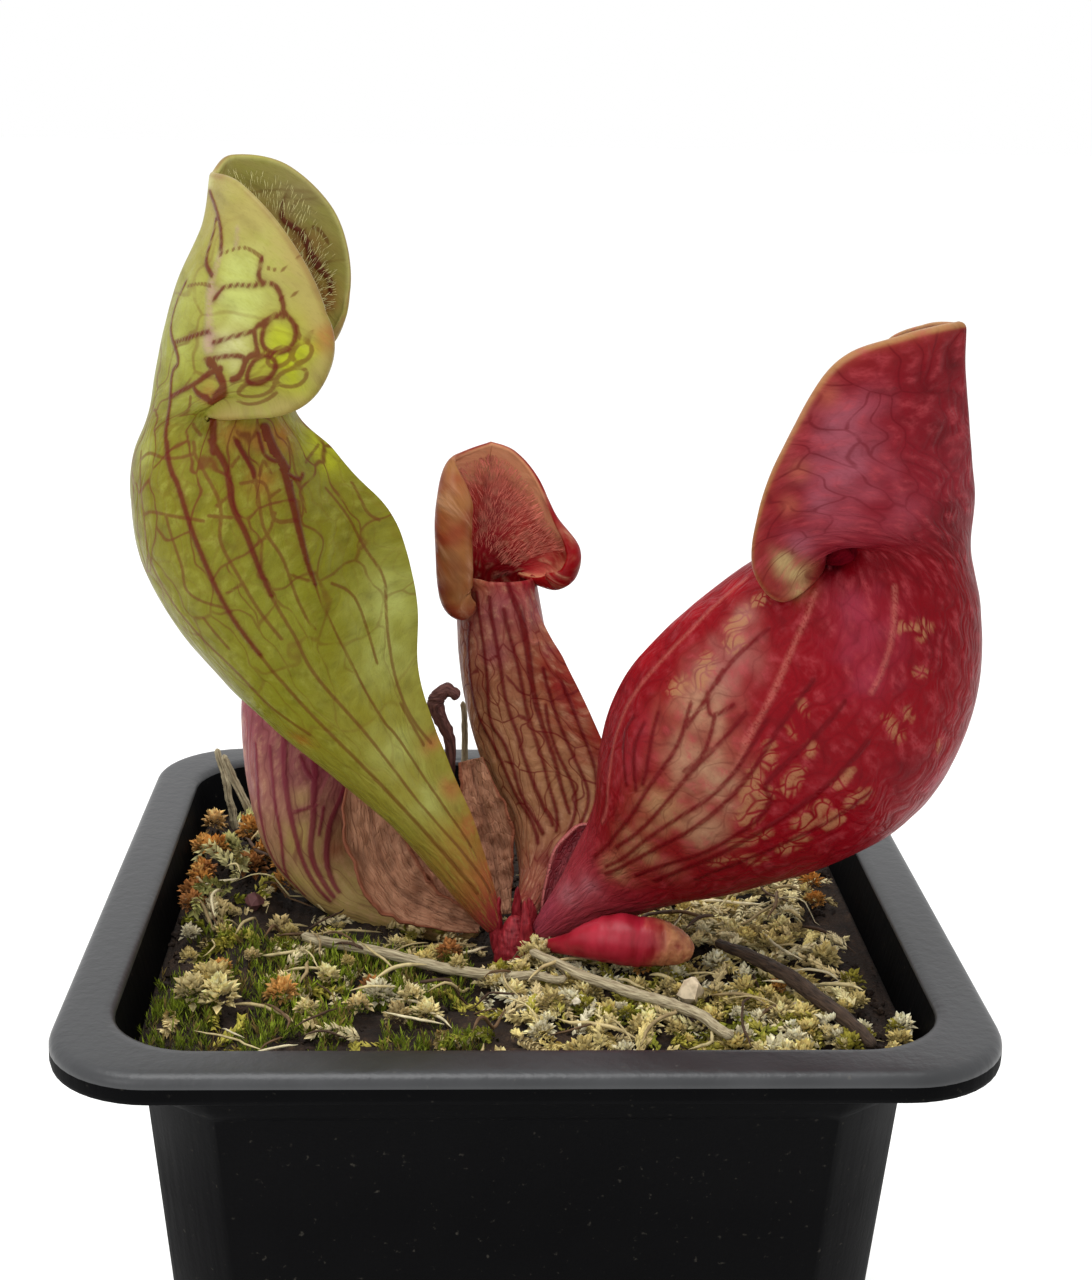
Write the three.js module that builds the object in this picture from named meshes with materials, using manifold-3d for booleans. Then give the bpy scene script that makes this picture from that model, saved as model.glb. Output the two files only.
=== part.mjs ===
// Pitcher plant in a square nursery pot: millimetres, +Z up, origin in the middle of the pot's base.
// The pot is moulded plastic; peat fills it, with moss and dried sphagnum on top; the plant is a
// rosette of hollow pitcher leaves round a short crown.
import * as THREE from 'three';
import { mergeVertices } from 'three/addons/utils/BufferGeometryUtils.js';
import Module from 'manifold-3d';

const wasm = await Module();
wasm.setup();

// Driving dimensions
const RIM_WIDTH = 90;
const POT_HEIGHT = 80;
const BASE_WIDTH = 63.4;
const BODY_TOP_WIDTH = 74.4;
const RIM_SKIRT = 3.1;
const MOUTH_WIDTH = 78.9;
const WALL = 1.1;
const DRAIN_DIAMETER = 9;
const LEAF_WALL = 0.75;
const GAP = 0.3;
const PEAT_DEPTH_BELOW_RIM = 6.8;
const CROWN_AT = [-0.7, -7.2];

const COLOURS = {
  pot: [0x1b1d1f, 0.45],
  peat: [0x241a12, 0.95],
  moss: [0x5f8a1f, 0.9],
  pale: [0xc9b98a, 0.9],
  rust: [0x9a5a2c, 0.9],
  twig: [0x8c8474, 0.8],
  dark_twig: [0x3a302a, 0.8],
  crown: [0x8e1f22, 0.6],
  green_leaf: [0x9fae3f, 0.45],
  red_leaf: [0x8d1024, 0.35],
  middle_leaf: [0x96303a, 0.45],
  old_leaf: [0x8a4a55, 0.6],
  dried: [0x7d5238, 0.9],
  maroon: [0x4a0f18, 0.5],
};

// Numbers and curves
function seeded(seed) {
  let state = seed >>> 0;
  return () => {
    state = (state + 0x6d2b79f5) >>> 0;
    let mixed = Math.imul(state ^ (state >>> 15), 1 | state);
    mixed = (mixed + Math.imul(mixed ^ (mixed >>> 7), 61 | mixed)) ^ mixed;
    return ((mixed ^ (mixed >>> 14)) >>> 0) / 4294967296;
  };
}

const vec = (x, y, z) => new THREE.Vector3(x, y, z);
const mix = (a, b, share) => a.clone().lerp(b, share);

function smoothStep(before, from, to, after, share) {
  const start = (to - before) / 2;
  const end = (after - from) / 2;
  const square = share * share;
  const cube = square * share;
  return (2 * from - 2 * to + start + end) * cube
    + (-3 * from + 3 * to - 2 * start - end) * square + start * share + from;
}

// A smooth curve through rows of numbers, for t from 0 to 1.
function along(rows, t) {
  const span = THREE.MathUtils.clamp(t, 0, 1) * (rows.length - 1);
  const i = Math.min(Math.floor(span), rows.length - 2);
  const row = (k) => rows[THREE.MathUtils.clamp(k, 0, rows.length - 1)];
  return rows[i].map((from, c) => smoothStep(row(i - 1)[c], from, row(i + 1)[c], row(i + 2)[c], span - i));
}

const pointOn = (rows, t) => vec(...along(rows, t));

// Solids
function geometryOf(points, faces) {
  const geometry = new THREE.BufferGeometry();
  const numbers = points.flatMap((p) => [p.x, p.y, p.z]);
  geometry.setAttribute('position', new THREE.Float32BufferAttribute(numbers, 3));
  geometry.setIndex(faces.flat());
  return geometry;
}

function solidOf(geometry) {
  const plain = geometry.clone();
  plain.deleteAttribute('normal');
  plain.deleteAttribute('uv');
  const merged = mergeVertices(plain, 1e-4);
  return new wasm.Manifold(new wasm.Mesh({
    numProp: 3,
    vertProperties: new Float32Array(merged.attributes.position.array),
    triVerts: new Uint32Array(merged.index.array),
  }));
}

function geometryFrom(solid) {
  const mesh = solid.getMesh();
  const geometry = new THREE.BufferGeometry();
  geometry.setAttribute('position', new THREE.Float32BufferAttribute(mesh.vertProperties, 3));
  geometry.setIndex([...mesh.triVerts]);
  return geometry;
}

// Loose scraps that a cut leaves are dropped: the body itself is the largest piece.
function mainBody(solid) {
  const bodies = solid.decompose();
  return bodies.reduce((best, body) => (body.volume() > best.volume() ? body : best));
}

function joined(solids) {
  return solids.reduce((whole, solid) => whole.add(solid));
}

// A closed skin through rings of equal count, capped by fans at both ends.
function loft(rings) {
  const count = rings[0].length;
  const points = rings.flat();
  const faces = [];
  for (let i = 0; i < rings.length - 1; i += 1) {
    for (let j = 0; j < count; j += 1) {
      const next = (j + 1) % count;
      const [a, b, c, d] = [i * count + j, i * count + next, (i + 1) * count + next, (i + 1) * count + j];
      faces.push([a, b, c], [a, c, d]);
    }
  }
  const middle = (ring) => ring.reduce((sum, p) => sum.add(p), vec(0, 0, 0)).divideScalar(count);
  const last = (rings.length - 1) * count;
  points.push(middle(rings[0]), middle(rings[rings.length - 1]));
  for (let j = 0; j < count; j += 1) {
    const next = (j + 1) % count;
    faces.push([next, j, points.length - 2], [last + j, last + next, points.length - 1]);
  }
  return geometryOf(points, faces);
}

// A tapered round rod through points, sides in number, its radius given at each point.
function rod(path, radii, sides) {
  const rings = path.map((point, i) => {
    const forward = path[Math.min(i + 1, path.length - 1)].clone().sub(path[Math.max(i - 1, 0)]).normalize();
    const across = vec(0.31, 0.17, 0.93).cross(forward).normalize();
    const up = forward.clone().cross(across);
    return Array.from({ length: sides }, (_, j) => {
      const turn = (2 * Math.PI * j) / sides;
      return point.clone().addScaledVector(across, radii[i] * Math.cos(turn))
        .addScaledVector(up, radii[i] * Math.sin(turn));
    });
  });
  return solidOf(loft(rings));
}

// A sheet's faces carried to both sides of its middle surface, with walls round its open edges.
// outside and inside are the faces seen from each side; they share the same open edges.
function thicken(points, outside, inside, thickness) {
  const normals = points.map(() => vec(0, 0, 0));
  for (const [a, b, c] of new Set([...outside, ...inside])) {
    const normal = points[b].clone().sub(points[a]).cross(points[c].clone().sub(points[a]));
    for (const k of [a, b, c]) normals[k].add(normal);
  }
  normals.forEach((normal) => normal.normalize());
  const outer = points.map((p, k) => p.clone().addScaledVector(normals[k], thickness / 2));
  const inner = points.map((p, k) => p.clone().addScaledVector(normals[k], -thickness / 2));
  const shift = points.length;
  const faces = [...outside, ...inside.map(([a, b, c]) => [c + shift, b + shift, a + shift])];
  const edges = new Set(outside.flatMap(([a, b, c]) => [`${a},${b}`, `${b},${c}`, `${c},${a}`]));
  for (const edge of edges) {
    const [a, b] = edge.split(',').map(Number);
    if (!edges.has(`${b},${a}`)) faces.push([b, a, a + shift], [b, a + shift, b + shift]);
  }
  return solidOf(geometryOf([...outer, ...inner], faces));
}

// Pot: one wall lofted up the outside, over the rim and down the inside, with drain holes.
const CORNER_STEPS = 3;

// flat runs from 0, a round corner, to 1, a corner cut straight across.
function potRing(width, corner, z, flat) {
  const reach = width / 2 - corner;
  const ring = [];
  for (let quarter = 0; quarter < 4; quarter += 1) {
    for (let step = 0; step <= CORNER_STEPS; step += 1) {
      const share = step / CORNER_STEPS;
      const turn = (share * Math.PI) / 2;
      const round = [Math.cos(turn), Math.sin(turn)];
      const x = reach + corner * (round[0] * (1 - flat) + (1 - share) * flat);
      const y = reach + corner * (round[1] * (1 - flat) + share * flat);
      const heading = (quarter * Math.PI) / 2;
      ring.push(vec(
        x * Math.cos(heading) - y * Math.sin(heading),
        x * Math.sin(heading) + y * Math.cos(heading),
        z,
      ));
    }
  }
  return ring;
}

const bodyWidth = (z) => BASE_WIDTH + (BODY_TOP_WIDTH - BASE_WIDTH) * (z / (POT_HEIGHT - 8.6));

function makePot() {
  const top = POT_HEIGHT;
  const body = (z, inset, corner) => potRing(bodyWidth(z) - 2 * inset, corner, z, 0.75);
  const rings = [
    potRing(BASE_WIDTH - 2.4, 7, 0, 0.75),
    body(1.2, 0, 7),
    body(top - 8.6, 0, 7.6),
    potRing(76.6, 9, top - 8, 0.4),
    potRing(79.6, 9.4, top - RIM_SKIRT - 0.6, 0.1),
    potRing(RIM_WIDTH - 2.4, 9.4, top - RIM_SKIRT + 0.5, 0),
    potRing(RIM_WIDTH - 1.8, 9.6, top - RIM_SKIRT, 0),
    potRing(RIM_WIDTH, 10.4, top - RIM_SKIRT + 0.6, 0),
    potRing(RIM_WIDTH, 10.4, top - 1, 0),
    potRing(RIM_WIDTH - 0.6, 10.2, top - 0.3, 0),
    potRing(RIM_WIDTH - 1.8, 9.9, top, 0),
    potRing(MOUTH_WIDTH + 1, 9.1, top, 0),
    potRing(MOUTH_WIDTH, 8.75, top - 0.5, 0),
    potRing(76.4, 8.4, top - 6.5, 0.1),
    body(top - 9.4, WALL, 7),
    body(1.6, WALL, 6.4),
  ];
  const wall = solidOf(loft(rings));
  const hole = new THREE.CylinderGeometry(DRAIN_DIAMETER / 2, DRAIN_DIAMETER / 2, 6, 12);
  hole.rotateX(Math.PI / 2);
  const holeReach = BASE_WIDTH / 2 - 10;
  const places = [];
  for (const x of [-holeReach, 0, holeReach]) {
    for (const y of [-holeReach, 0, holeReach]) {
      if (x !== 0 || y !== 0) places.push([x, y]);
    }
  }
  const cuts = places.map(([x, y]) => solidOf(hole.clone().translate(x, y, 0)));
  return wall.subtract(joined(cuts));
}

// The space inside the pot, held off its wall by the gap.
function potFilling() {
  const top = POT_HEIGHT;
  const inset = WALL + GAP;
  return solidOf(loft([
    potRing(bodyWidth(1.6) - 2 * inset, 6.4, 1.6 + GAP, 0.75),
    potRing(bodyWidth(top - 9.4) - 2 * inset - GAP, 7, top - 9.4, 0.75),
    potRing(76.4 - 3 * GAP, 8.4, top - 6.5, 0.1),
    potRing(MOUTH_WIDTH - 2 * GAP, 8.75, top - 0.5, 0),
    potRing(MOUTH_WIDTH - 2 * GAP, 8.75, top + 12, 0),
  ]));
}

// Ground surfaces, as heights above the rim's top at a place on the surface.
function lumps(x, y, size, seed) {
  const wave = (k) => {
    const turn = k * 2.4 + seed;
    const run = (x * Math.cos(turn) + y * Math.sin(turn)) / size;
    return Math.sin(run * (1 + 0.37 * k) + 5.1 * k + seed);
  };
  return (wave(0) + wave(1) + wave(2) + 0.6 * wave(3) + 0.6 * wave(4)) / 4.2;
}

const edgeRise = (x, y) => 0.0011 * Math.max(0, Math.hypot(x, y) - 22) ** 2;
const peatTop = (x, y) => -PEAT_DEPTH_BELOW_RIM + 0.5 * lumps(x, y, 3.4, 2) + edgeRise(x, y);
const mossTop = (x, y) => -4.0 + 0.9 * lumps(x, y, 3.2, 7) + edgeRise(x, y);
const paleTop = (x, y) => -3.8 + 1.1 * lumps(x, y, 2.7, 11) + edgeRise(x, y);
const rustTop = (x, y) => -2.6 + 1.3 * lumps(x, y, 2.6, 4) + edgeRise(x, y);

// Everything below a ground surface, inside a rectangle of the pot's mouth.
function below(heightAt, area, step) {
  const [left, right, front, back] = area;
  const columns = Math.round((right - left) / step);
  const rows = Math.round((back - front) / step);
  const floor = -POT_HEIGHT - 5;
  const points = [];
  for (let j = 0; j <= rows; j += 1) {
    for (let i = 0; i <= columns; i += 1) {
      const x = left + ((right - left) * i) / columns;
      const y = front + ((back - front) * j) / rows;
      points.push(vec(x, y, heightAt(x, y)));
    }
  }
  const faces = [];
  const at = (i, j) => j * (columns + 1) + i;
  for (let j = 0; j < rows; j += 1) {
    for (let i = 0; i < columns; i += 1) {
      faces.push([at(i, j), at(i + 1, j), at(i + 1, j + 1)], [at(i, j), at(i + 1, j + 1), at(i, j + 1)]);
    }
  }
  const border = [];
  for (let i = 0; i < columns; i += 1) border.push(at(i, 0));
  for (let j = 0; j < rows; j += 1) border.push(at(columns, j));
  for (let i = columns; i > 0; i -= 1) border.push(at(i, rows));
  for (let j = rows; j > 0; j -= 1) border.push(at(0, j));
  const lower = points.length;
  border.forEach((k) => points.push(vec(points[k].x, points[k].y, floor)));
  const middle = points.length;
  points.push(vec((left + right) / 2, (front + back) / 2, floor));
  border.forEach((k, n) => {
    const m = (n + 1) % border.length;
    faces.push([lower + n, lower + m, border[m]], [lower + n, border[m], k],
      [lower + m, lower + n, middle]);
  });
  return solidOf(geometryOf(points, faces));
}

function patchPrism(outline) {
  const shape = new THREE.Shape(outline.map(([x, y]) => new THREE.Vector2(x, y)));
  const prism = new THREE.ExtrudeGeometry(shape, { depth: POT_HEIGHT + 40, bevelEnabled: false });
  return solidOf(prism.translate(0, 0, -POT_HEIGHT - 20));
}

function inside(outline, x, y) {
  let within = false;
  outline.forEach(([x0, y0], k) => {
    const [x1, y1] = outline[(k + 1) % outline.length];
    if ((y0 > y) !== (y1 > y) && x < ((x1 - x0) * (y - y0)) / (y1 - y0) + x0) within = !within;
  });
  return within;
}

const MOSS_OUTLINE = [[-38, -38], [-6, -38], [-3, -30], [-6.5, -22], [-4.5, -13], [-13, -9],
  [-22, -7], [-31, -4], [-38, -7]];
const PALE_OUTLINE = [[-5.4, -38], [38, -38], [38, -12], [31, -3], [38, 4], [30, 16], [17, 18],
  [9, 10], [6, 3], [2, -8], [-3.6, -12.6], [-5.7, -22], [-2.2, -30]];
const RUST_OUTLINE = [[-38, -5.8], [-31, -2.8], [-27, 2], [-24.5, 12], [-27, 24], [-38, 27]];

// Strands that creep over a patch: crumpled, tapered, with swollen ends.
function strands(outline, heightAt, count, length, radius, seed) {
  const random = seeded(seed);
  const made = [];
  for (let tries = 0; made.length < count && tries < count * 20; tries += 1) {
    const x = -37 + 74 * random();
    const y = -37 + 74 * random();
    const heading = 2 * Math.PI * random();
    const reach = length * (0.6 + 0.7 * random());
    const bend = (random() - 0.5) * 1.6;
    const rise = 0.5 + 1.6 * random();
    const thick = radius * (0.75 + 0.5 * random());
    const path = [0, 0.5, 1].map((share) => {
      const px = x + reach * share * Math.cos(heading + bend * share);
      const py = y + reach * share * Math.sin(heading + bend * share);
      return vec(px, py, heightAt(px, py) - 0.45 + rise * Math.sin(Math.PI * (0.12 + 0.62 * share)));
    });
    const tip = path[2];
    if (!inside(outline, x, y) || !inside(outline, tip.x, tip.y)) continue;
    if (Math.max(Math.abs(x), Math.abs(y), Math.abs(tip.x), Math.abs(tip.y)) > 36) continue;
    made.push(rod(path, [thick * 0.7, thick, thick * 1.15], 4));
  }
  return made;
}

// Upright tufts of green moss: three-sided spikes leaning a little.
function tufts(outline, heightAt, count, height, seed) {
  const random = seeded(seed);
  const made = [];
  while (made.length < count) {
    const x = -37 + 74 * random();
    const y = -37 + 74 * random();
    const lean = [0.9 * (random() - 0.5), 0.9 * (random() - 0.5)];
    const tall = height * (0.6 + 0.8 * random());
    if (!inside(outline, x, y) || Math.max(Math.abs(x), Math.abs(y)) > 36.5) continue;
    const foot = vec(x, y, heightAt(x, y) - 0.5);
    const tip = foot.clone().add(vec(lean[0], lean[1], tall + 0.5));
    made.push(rod([foot, tip], [0.6, 0.16], 3));
  }
  return made;
}

// Pitcher leaf. It is drawn in its own plane: x runs outwards from the crown, y to its left side
// and z up. A station gives the back of the tube, its front, half its width, and the wing's reach.
const RING = 20;
const HALF_RING = RING / 2;
const TUBE_ROWS = 11;
const HOOD_ROWS = 5;

function stationAt(stations, t) {
  const [bx, by, bz, fx, fy, fz, half, wing] = along(stations, t);
  return { back: vec(bx, by, bz), front: vec(fx, fy, fz), half, wing };
}

function tubeRing(stations, t, grow, withWing) {
  const { back, front, half, wing } = stationAt(stations, t);
  const before = stationAt(stations, Math.max(t - 0.04, 0));
  const after = stationAt(stations, Math.min(t + 0.04, 1));
  const forward = mix(after.back, after.front, 0.5).sub(mix(before.back, before.front, 0.5)).normalize();
  const depth = back.clone().sub(front).normalize();
  const side = forward.clone().cross(depth).normalize();
  const reach = withWing ? front.clone().addScaledVector(depth, -wing) : front;
  const centre = mix(back, reach, 0.5);
  const deep = back.distanceTo(reach) / 2 + grow;
  return Array.from({ length: RING }, (_, j) => {
    const turn = (2 * Math.PI * j) / RING;
    return centre.clone().addScaledVector(depth, -deep * Math.cos(turn))
      .addScaledVector(side, (half + grow) * Math.sin(turn));
  });
}

function wingBlade(stations, span) {
  const steps = 12;
  const rings = [];
  for (let i = 0; i <= steps; i += 1) {
    const t = span[0] + ((span[1] - span[0]) * i) / steps;
    const { back, front, wing } = stationAt(stations, t);
    const depth = back.clone().sub(front).normalize();
    const ring = tubeRing(stations, t, 0, false);
    const side = ring[RING / 4].clone().sub(ring[(3 * RING) / 4]).normalize();
    const root = front.clone().addScaledVector(depth, 0.35);
    const edge = front.clone().addScaledVector(depth, -Math.max(wing, 0.5));
    rings.push([
      root.clone().addScaledVector(side, 0.55),
      edge.clone().addScaledVector(side, 0.35),
      edge.clone().addScaledVector(side, -0.35),
      root.clone().addScaledVector(side, -0.55),
    ]);
  }
  return solidOf(loft(rings));
}

// leftEdge and rightEdge run from the hood's tip round each lobe to the notch where it meets the lip.
function pitcher({ stations, notch, ridge, leftEdge, rightEdge, swell, solidUpTo, wingSpan }) {
  const points = [];
  const outside = [];
  const shell = [];
  for (let i = 0; i <= TUBE_ROWS; i += 1) points.push(...tubeRing(stations, i / TUBE_ROWS, 0, false));
  const lip = TUBE_ROWS * RING;
  for (let i = 0; i < TUBE_ROWS; i += 1) {
    for (let j = 0; j < RING; j += 1) {
      const next = (j + 1) % RING;
      const [a, b, c, d] = [i * RING + j, (i + 1) * RING + j, (i + 1) * RING + next, i * RING + next];
      const pair = [[a, b, c], [a, c, d]];
      outside.push(...pair);
      if (i >= solidUpTo) shell.push(...pair);
    }
  }
  // The hood: a column rises from each point of the back half of the lip to the hood's edge.
  const ridgeStart = points[lip + HALF_RING];
  const tip = vec(...leftEdge[0]);
  const columns = new Map();
  for (let j = notch; j <= RING - notch; j += 1) {
    const onLeft = j <= HALF_RING;
    const share = Math.abs(j - HALF_RING) / (HALF_RING - notch);
    const root = points[lip + j];
    const column = [lip + j];
    if (share < 1) {
      const edge = pointOn(onLeft ? leftEdge : rightEdge, share);
      for (let k = 1; k <= HOOD_ROWS; k += 1) {
        const up = k / HOOD_ROWS;
        const spine = pointOn([ridgeStart.toArray(), ...ridge], up).sub(mix(ridgeStart, tip, up));
        const place = mix(root, edge, up).addScaledVector(spine, (1 - share) ** 1.4);
        place.y += (onLeft ? 1 : -1) * swell * Math.sin(Math.PI * up) * Math.sin(Math.PI * share);
        column.push(points.length);
        points.push(place);
      }
    }
    columns.set(j, column);
  }
  for (let j = notch; j < RING - notch; j += 1) {
    const here = columns.get(j);
    const next = columns.get(j + 1);
    for (let k = 0; k < HOOD_ROWS; k += 1) {
      const [a, b] = [here[k] ?? here[0], here[k + 1] ?? here[0]];
      const [c, d] = [next[k + 1] ?? next[0], next[k] ?? next[0]];
      for (const face of [[a, b, c], [a, c, d]]) {
        if (new Set(face).size === 3) {
          outside.push(face);
          shell.push(face);
        }
      }
    }
  }
  // The foot is closed, and the hollow starts a little above it.
  const closeAt = (row, target) => {
    const first = row * RING;
    const middle = vec(0, 0, 0);
    for (let j = 0; j < RING; j += 1) middle.add(points[first + j]);
    points.push(middle.divideScalar(RING));
    for (let j = 0; j < RING; j += 1) target.push([first + j, first + ((j + 1) % RING), points.length - 1]);
  };
  closeAt(0, outside);
  closeAt(solidUpTo, shell);
  return thicken(points, outside, shell, LEAF_WALL).add(wingBlade(stations, wingSpan));
}

// The tube's foot with its wing, swollen by the gap, to cut what it stands in.
function footprint(stations, grow, upTo) {
  const rings = [];
  for (let i = 0; i <= 6; i += 1) rings.push(tubeRing(stations, (upTo * i) / 6, grow, true).reverse());
  const backwards = rings[0][0].clone().sub(rings[1][0]).normalize();
  rings.unshift(rings[0].map((p) => p.clone().addScaledVector(backwards, grow + GAP)));
  return solidOf(loft(rings));
}

const PITCHERS = {
  pitcher_green: {
    colour: 'green_leaf',
    foot: [-1.7, -6.3],
    azimuth: 178,
    stations: [
      [1.8, 0, -3.2, 0.6, 0, -2.0, 0.9, 0.3],
      [5.1, 0, 0.4, 2.6, 0, 3.7, 2.1, 1.4],
      [11.2, 0, 8.2, 7.9, 0, 11.6, 3.3, 3.2],
      [18.6, 0, 15.0, 13.0, 0, 21.2, 4.9, 5.3],
      [26.8, 0, 22.4, 16.2, 0, 29.1, 7.1, 7.5],
      [33.9, 0, 30.9, 17.9, 0, 35.7, 9.1, 7.5],
      [37.6, 0, 38.4, 18.4, 0, 42.0, 10.0, 5.7],
      [38.3, 0, 44.2, 19.8, 0, 46.3, 9.7, 3.7],
      [37.8, 0, 49.0, 21.5, 0, 50.7, 8.3, 1.8],
      [36.3, 0, 52.5, 22.6, 0, 54.1, 7.1, 0.6],
    ],
    notch: 5,
    ridge: [[35.1, 0, 58.4], [33.3, 0, 65.3], [30.5, 0, 71.2], [29.7, 0, 75.8]],
    leftEdge: [[29.7, 0, 75.8], [26.6, 4.4, 75.2], [22.5, 7.9, 71.6], [19.0, 10.2, 66.3],
      [17.7, 11.3, 61.0],
      [19.7, 11.2, 56.7], [23.6, 10.0, 54.7], [28.9, 7.3, 54.5]],
    rightEdge: [[29.7, 0, 75.8], [28.2, -3.4, 77.4], [23.4, -6.3, 76.5], [19.1, -8.9, 72.0],
      [17.7, -10.4, 65.7],
      [19.3, -10.2, 59.4], [24.2, -9.1, 55.5], [28.9, -7.3, 53.9]],
    swell: 2.6,
    buriedUpTo: 0.3,
    solidUpTo: 2,
    wingSpan: [0.05, 0.99],
  },
  pitcher_red: {
    colour: 'red_leaf',
    foot: [0.8, -7.6],
    azimuth: -14,
    stations: [
      [1.8, 0, -3.4, 0.8, 0, -2.0, 0.9, 0.3],
      [9.1, 0, -0.3, 4.7, -0.6, 5.8, 3.0, 1.0],
      [16.5, 0, 3.3, 7.5, -1.6, 12.1, 5.3, 1.2],
      [24.0, 0, 6.0, 8.5, -2.8, 19.6, 7.9, 1.4],
      [31.5, 0, 9.4, 10.4, -3.5, 26.3, 9.8, 1.4],
      [38.4, 0, 14.1, 14.2, -3.5, 32.0, 10.8, 1.2],
      [42.9, 0, 20.8, 18.5, -3.0, 36.6, 10.8, 1.0],
      [44.9, 0, 28.9, 22.5, -2.2, 39.9, 9.8, 0.8],
      [44.5, 0, 36.8, 25.2, -1.2, 41.9, 8.7, 0.6],
      [42.9, 0, 42.5, 27.0, -0.4, 42.9, 7.7, 0.4],
    ],
    notch: 3,
    ridge: [[43.1, 0, 47.6], [42.2, 0, 53.5], [41.4, 0, 59.4], [41.2, 0, 63.8]],
    leftEdge: [[41.2, 0, 63.8], [37.8, 4.1, 63.0], [34.3, 7.7, 60.8], [31.3, 10.0, 55.1],
      [29.6, 10.6, 48.0],
      [30.1, 9.8, 43.5], [31.5, 7.5, 42.5]],
    rightEdge: [[41.2, 0, 63.8], [36.1, -4.9, 62.8], [30.5, -8.4, 60.6], [27.0, -10.4, 54.7],
      [24.4, -11.0, 47.8],
      [24.0, -10.8, 42.3], [26.6, -10.0, 39.3], [30.5, -8.1, 41.7]],
    swell: 2.0,
    buriedUpTo: 0.4,
    solidUpTo: 2,
    wingSpan: [0.05, 0.97],
  },
  pitcher_middle: {
    colour: 'middle_leaf',
    foot: [-0.7, -5.7],
    azimuth: 90,
    stations: [
      [1.8, -0.8, -3.2, 0.6, -1.0, -2.2, 0.9, 0.3],
      [8.0, -1.4, -0.7, 5.7, -3.9, 1.3, 1.6, 1.0],
      [12.4, -0.2, 4.7, 9.0, -5.7, 5.8, 3.0, 4.1],
      [15.0, 2.8, 10.8, 10.8, -5.5, 11.2, 3.9, 5.7],
      [16.4, 4.5, 17.1, 12.0, -3.7, 17.6, 4.3, 5.1],
      [16.7, 5.5, 23.5, 12.2, -3.0, 23.6, 4.3, 2.6],
      [17.1, 5.7, 28.5, 12.4, -2.2, 28.3, 4.2, 1.2],
      [17.3, 5.5, 32.2, 13.0, -1.4, 32.2, 4.1, 0.4],
    ],
    notch: 4,
    ridge: [[18.9, 4.5, 36.8], [19.3, 3.5, 41.7], [19.0, 3.2, 44.4], [18.4, 2.9, 46.3]],
    leftEdge: [[18.4, 2.9, 46.3], [15.4, 7.3, 44.8], [11.9, 8.5, 40.7], [10.9, 8.5, 35.8],
      [11.4, 8.1, 31.8],
      [12.6, 7.1, 30.9], [14.2, 5.9, 32.2]],
    rightEdge: [[18.4, 2.9, 46.3], [18.2, 0.4, 45.4], [17.2, -2.1, 42.8], [15.0, -4.1, 39.1],
      [13.9, -6.5, 36.0],
      [13.4, -6.1, 33.2], [13.8, -4.1, 31.8], [15.2, -1.6, 32.2]],
    swell: 0.9,
    buriedUpTo: 0.4,
    solidUpTo: 2,
    wingSpan: [0.06, 0.95],
  },
  pitcher_old: {
    colour: 'old_leaf',
    foot: [-1.6, -2.1],
    azimuth: 157,
    stations: [
      [4, 0, -7.8, 3.4, 0, -6, 1, 0.3],
      [12, 0, -7.6, 11, 0, -4.1, 2.4, 0.5],
      [20.4, 0, -6.2, 16.7, 0, -1.2, 3.6, 0.8],
      [27.1, 0, -1.8, 19, 0, 2.3, 4.6, 1.2],
      [30.6, -0.4, 5.2, 19.8, -0.4, 7.1, 5.2, 1.2],
      [32.2, -1.2, 12.4, 20.8, -1.4, 13.1, 5.2, 1],
      [32.7, -2.4, 18.8, 22.3, -2.6, 18.8, 4.8, 0.7],
      [32.3, -3.6, 24.2, 23.9, -3.8, 23.9, 4.2, 0.4],
    ],
    notch: 5,
    ridge: [[33.0, -3.5, 27.9], [33.2, -3.5, 31.5], [32.6, -3.5, 34.3], [31.4, -3.5, 35.9]],
    leftEdge: [[31.4, -3.5, 35.9], [29.0, -1.2, 35.5], [23.6, 0.8, 31.9], [22, 1.4, 27.9], [24.1, 1, 25.1],
      [28, 0, 24.2]],
    rightEdge: [[31.4, -3.5, 35.9], [28.9, -6.0, 35.7], [22.6, -7.8, 32.3], [21.8, -8.9, 28.1],
      [23.9, -8.7, 25.1],
      [28, -7.6, 24.2]],
    swell: 0.9,
    buriedUpTo: 0.7,
    solidUpTo: 3,
    wingSpan: [0.3, 0.95],
  },
};

// A dried leaf: an open trough with waved edges. A row gives its middle line and half its width.
const ACROSS = [-1, -0.55, 0, 0.55, 1];
const TROUGH_ROWS = 8;

function trough({ rows, facing, cup, wave, phase }, thickness, grow) {
  const face = vec(...facing).normalize();
  const points = [];
  const faces = [];
  for (let i = 0; i <= TROUGH_ROWS; i += 1) {
    const t = i / TROUGH_ROWS;
    const [x, y, z, half] = along(rows, t);
    const forward = pointOn(rows, t + 0.06).sub(pointOn(rows, t - 0.06)).normalize();
    const side = forward.cross(face).normalize();
    for (const c of ACROSS) {
      const lift = cup * half * c * c + wave * c ** 3 * Math.sin(phase + 7.5 * t);
      points.push(vec(x, y, z).addScaledVector(side, (half + grow) * c).addScaledVector(face, lift));
    }
  }
  const count = ACROSS.length;
  for (let i = 0; i < TROUGH_ROWS; i += 1) {
    for (let j = 0; j < count - 1; j += 1) {
      const [a, b, c, d] = [i * count + j, i * count + j + 1, (i + 1) * count + j + 1, (i + 1) * count + j];
      faces.push([a, b, c], [a, c, d]);
    }
  }
  return thicken(points, faces, faces, thickness);
}

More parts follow.
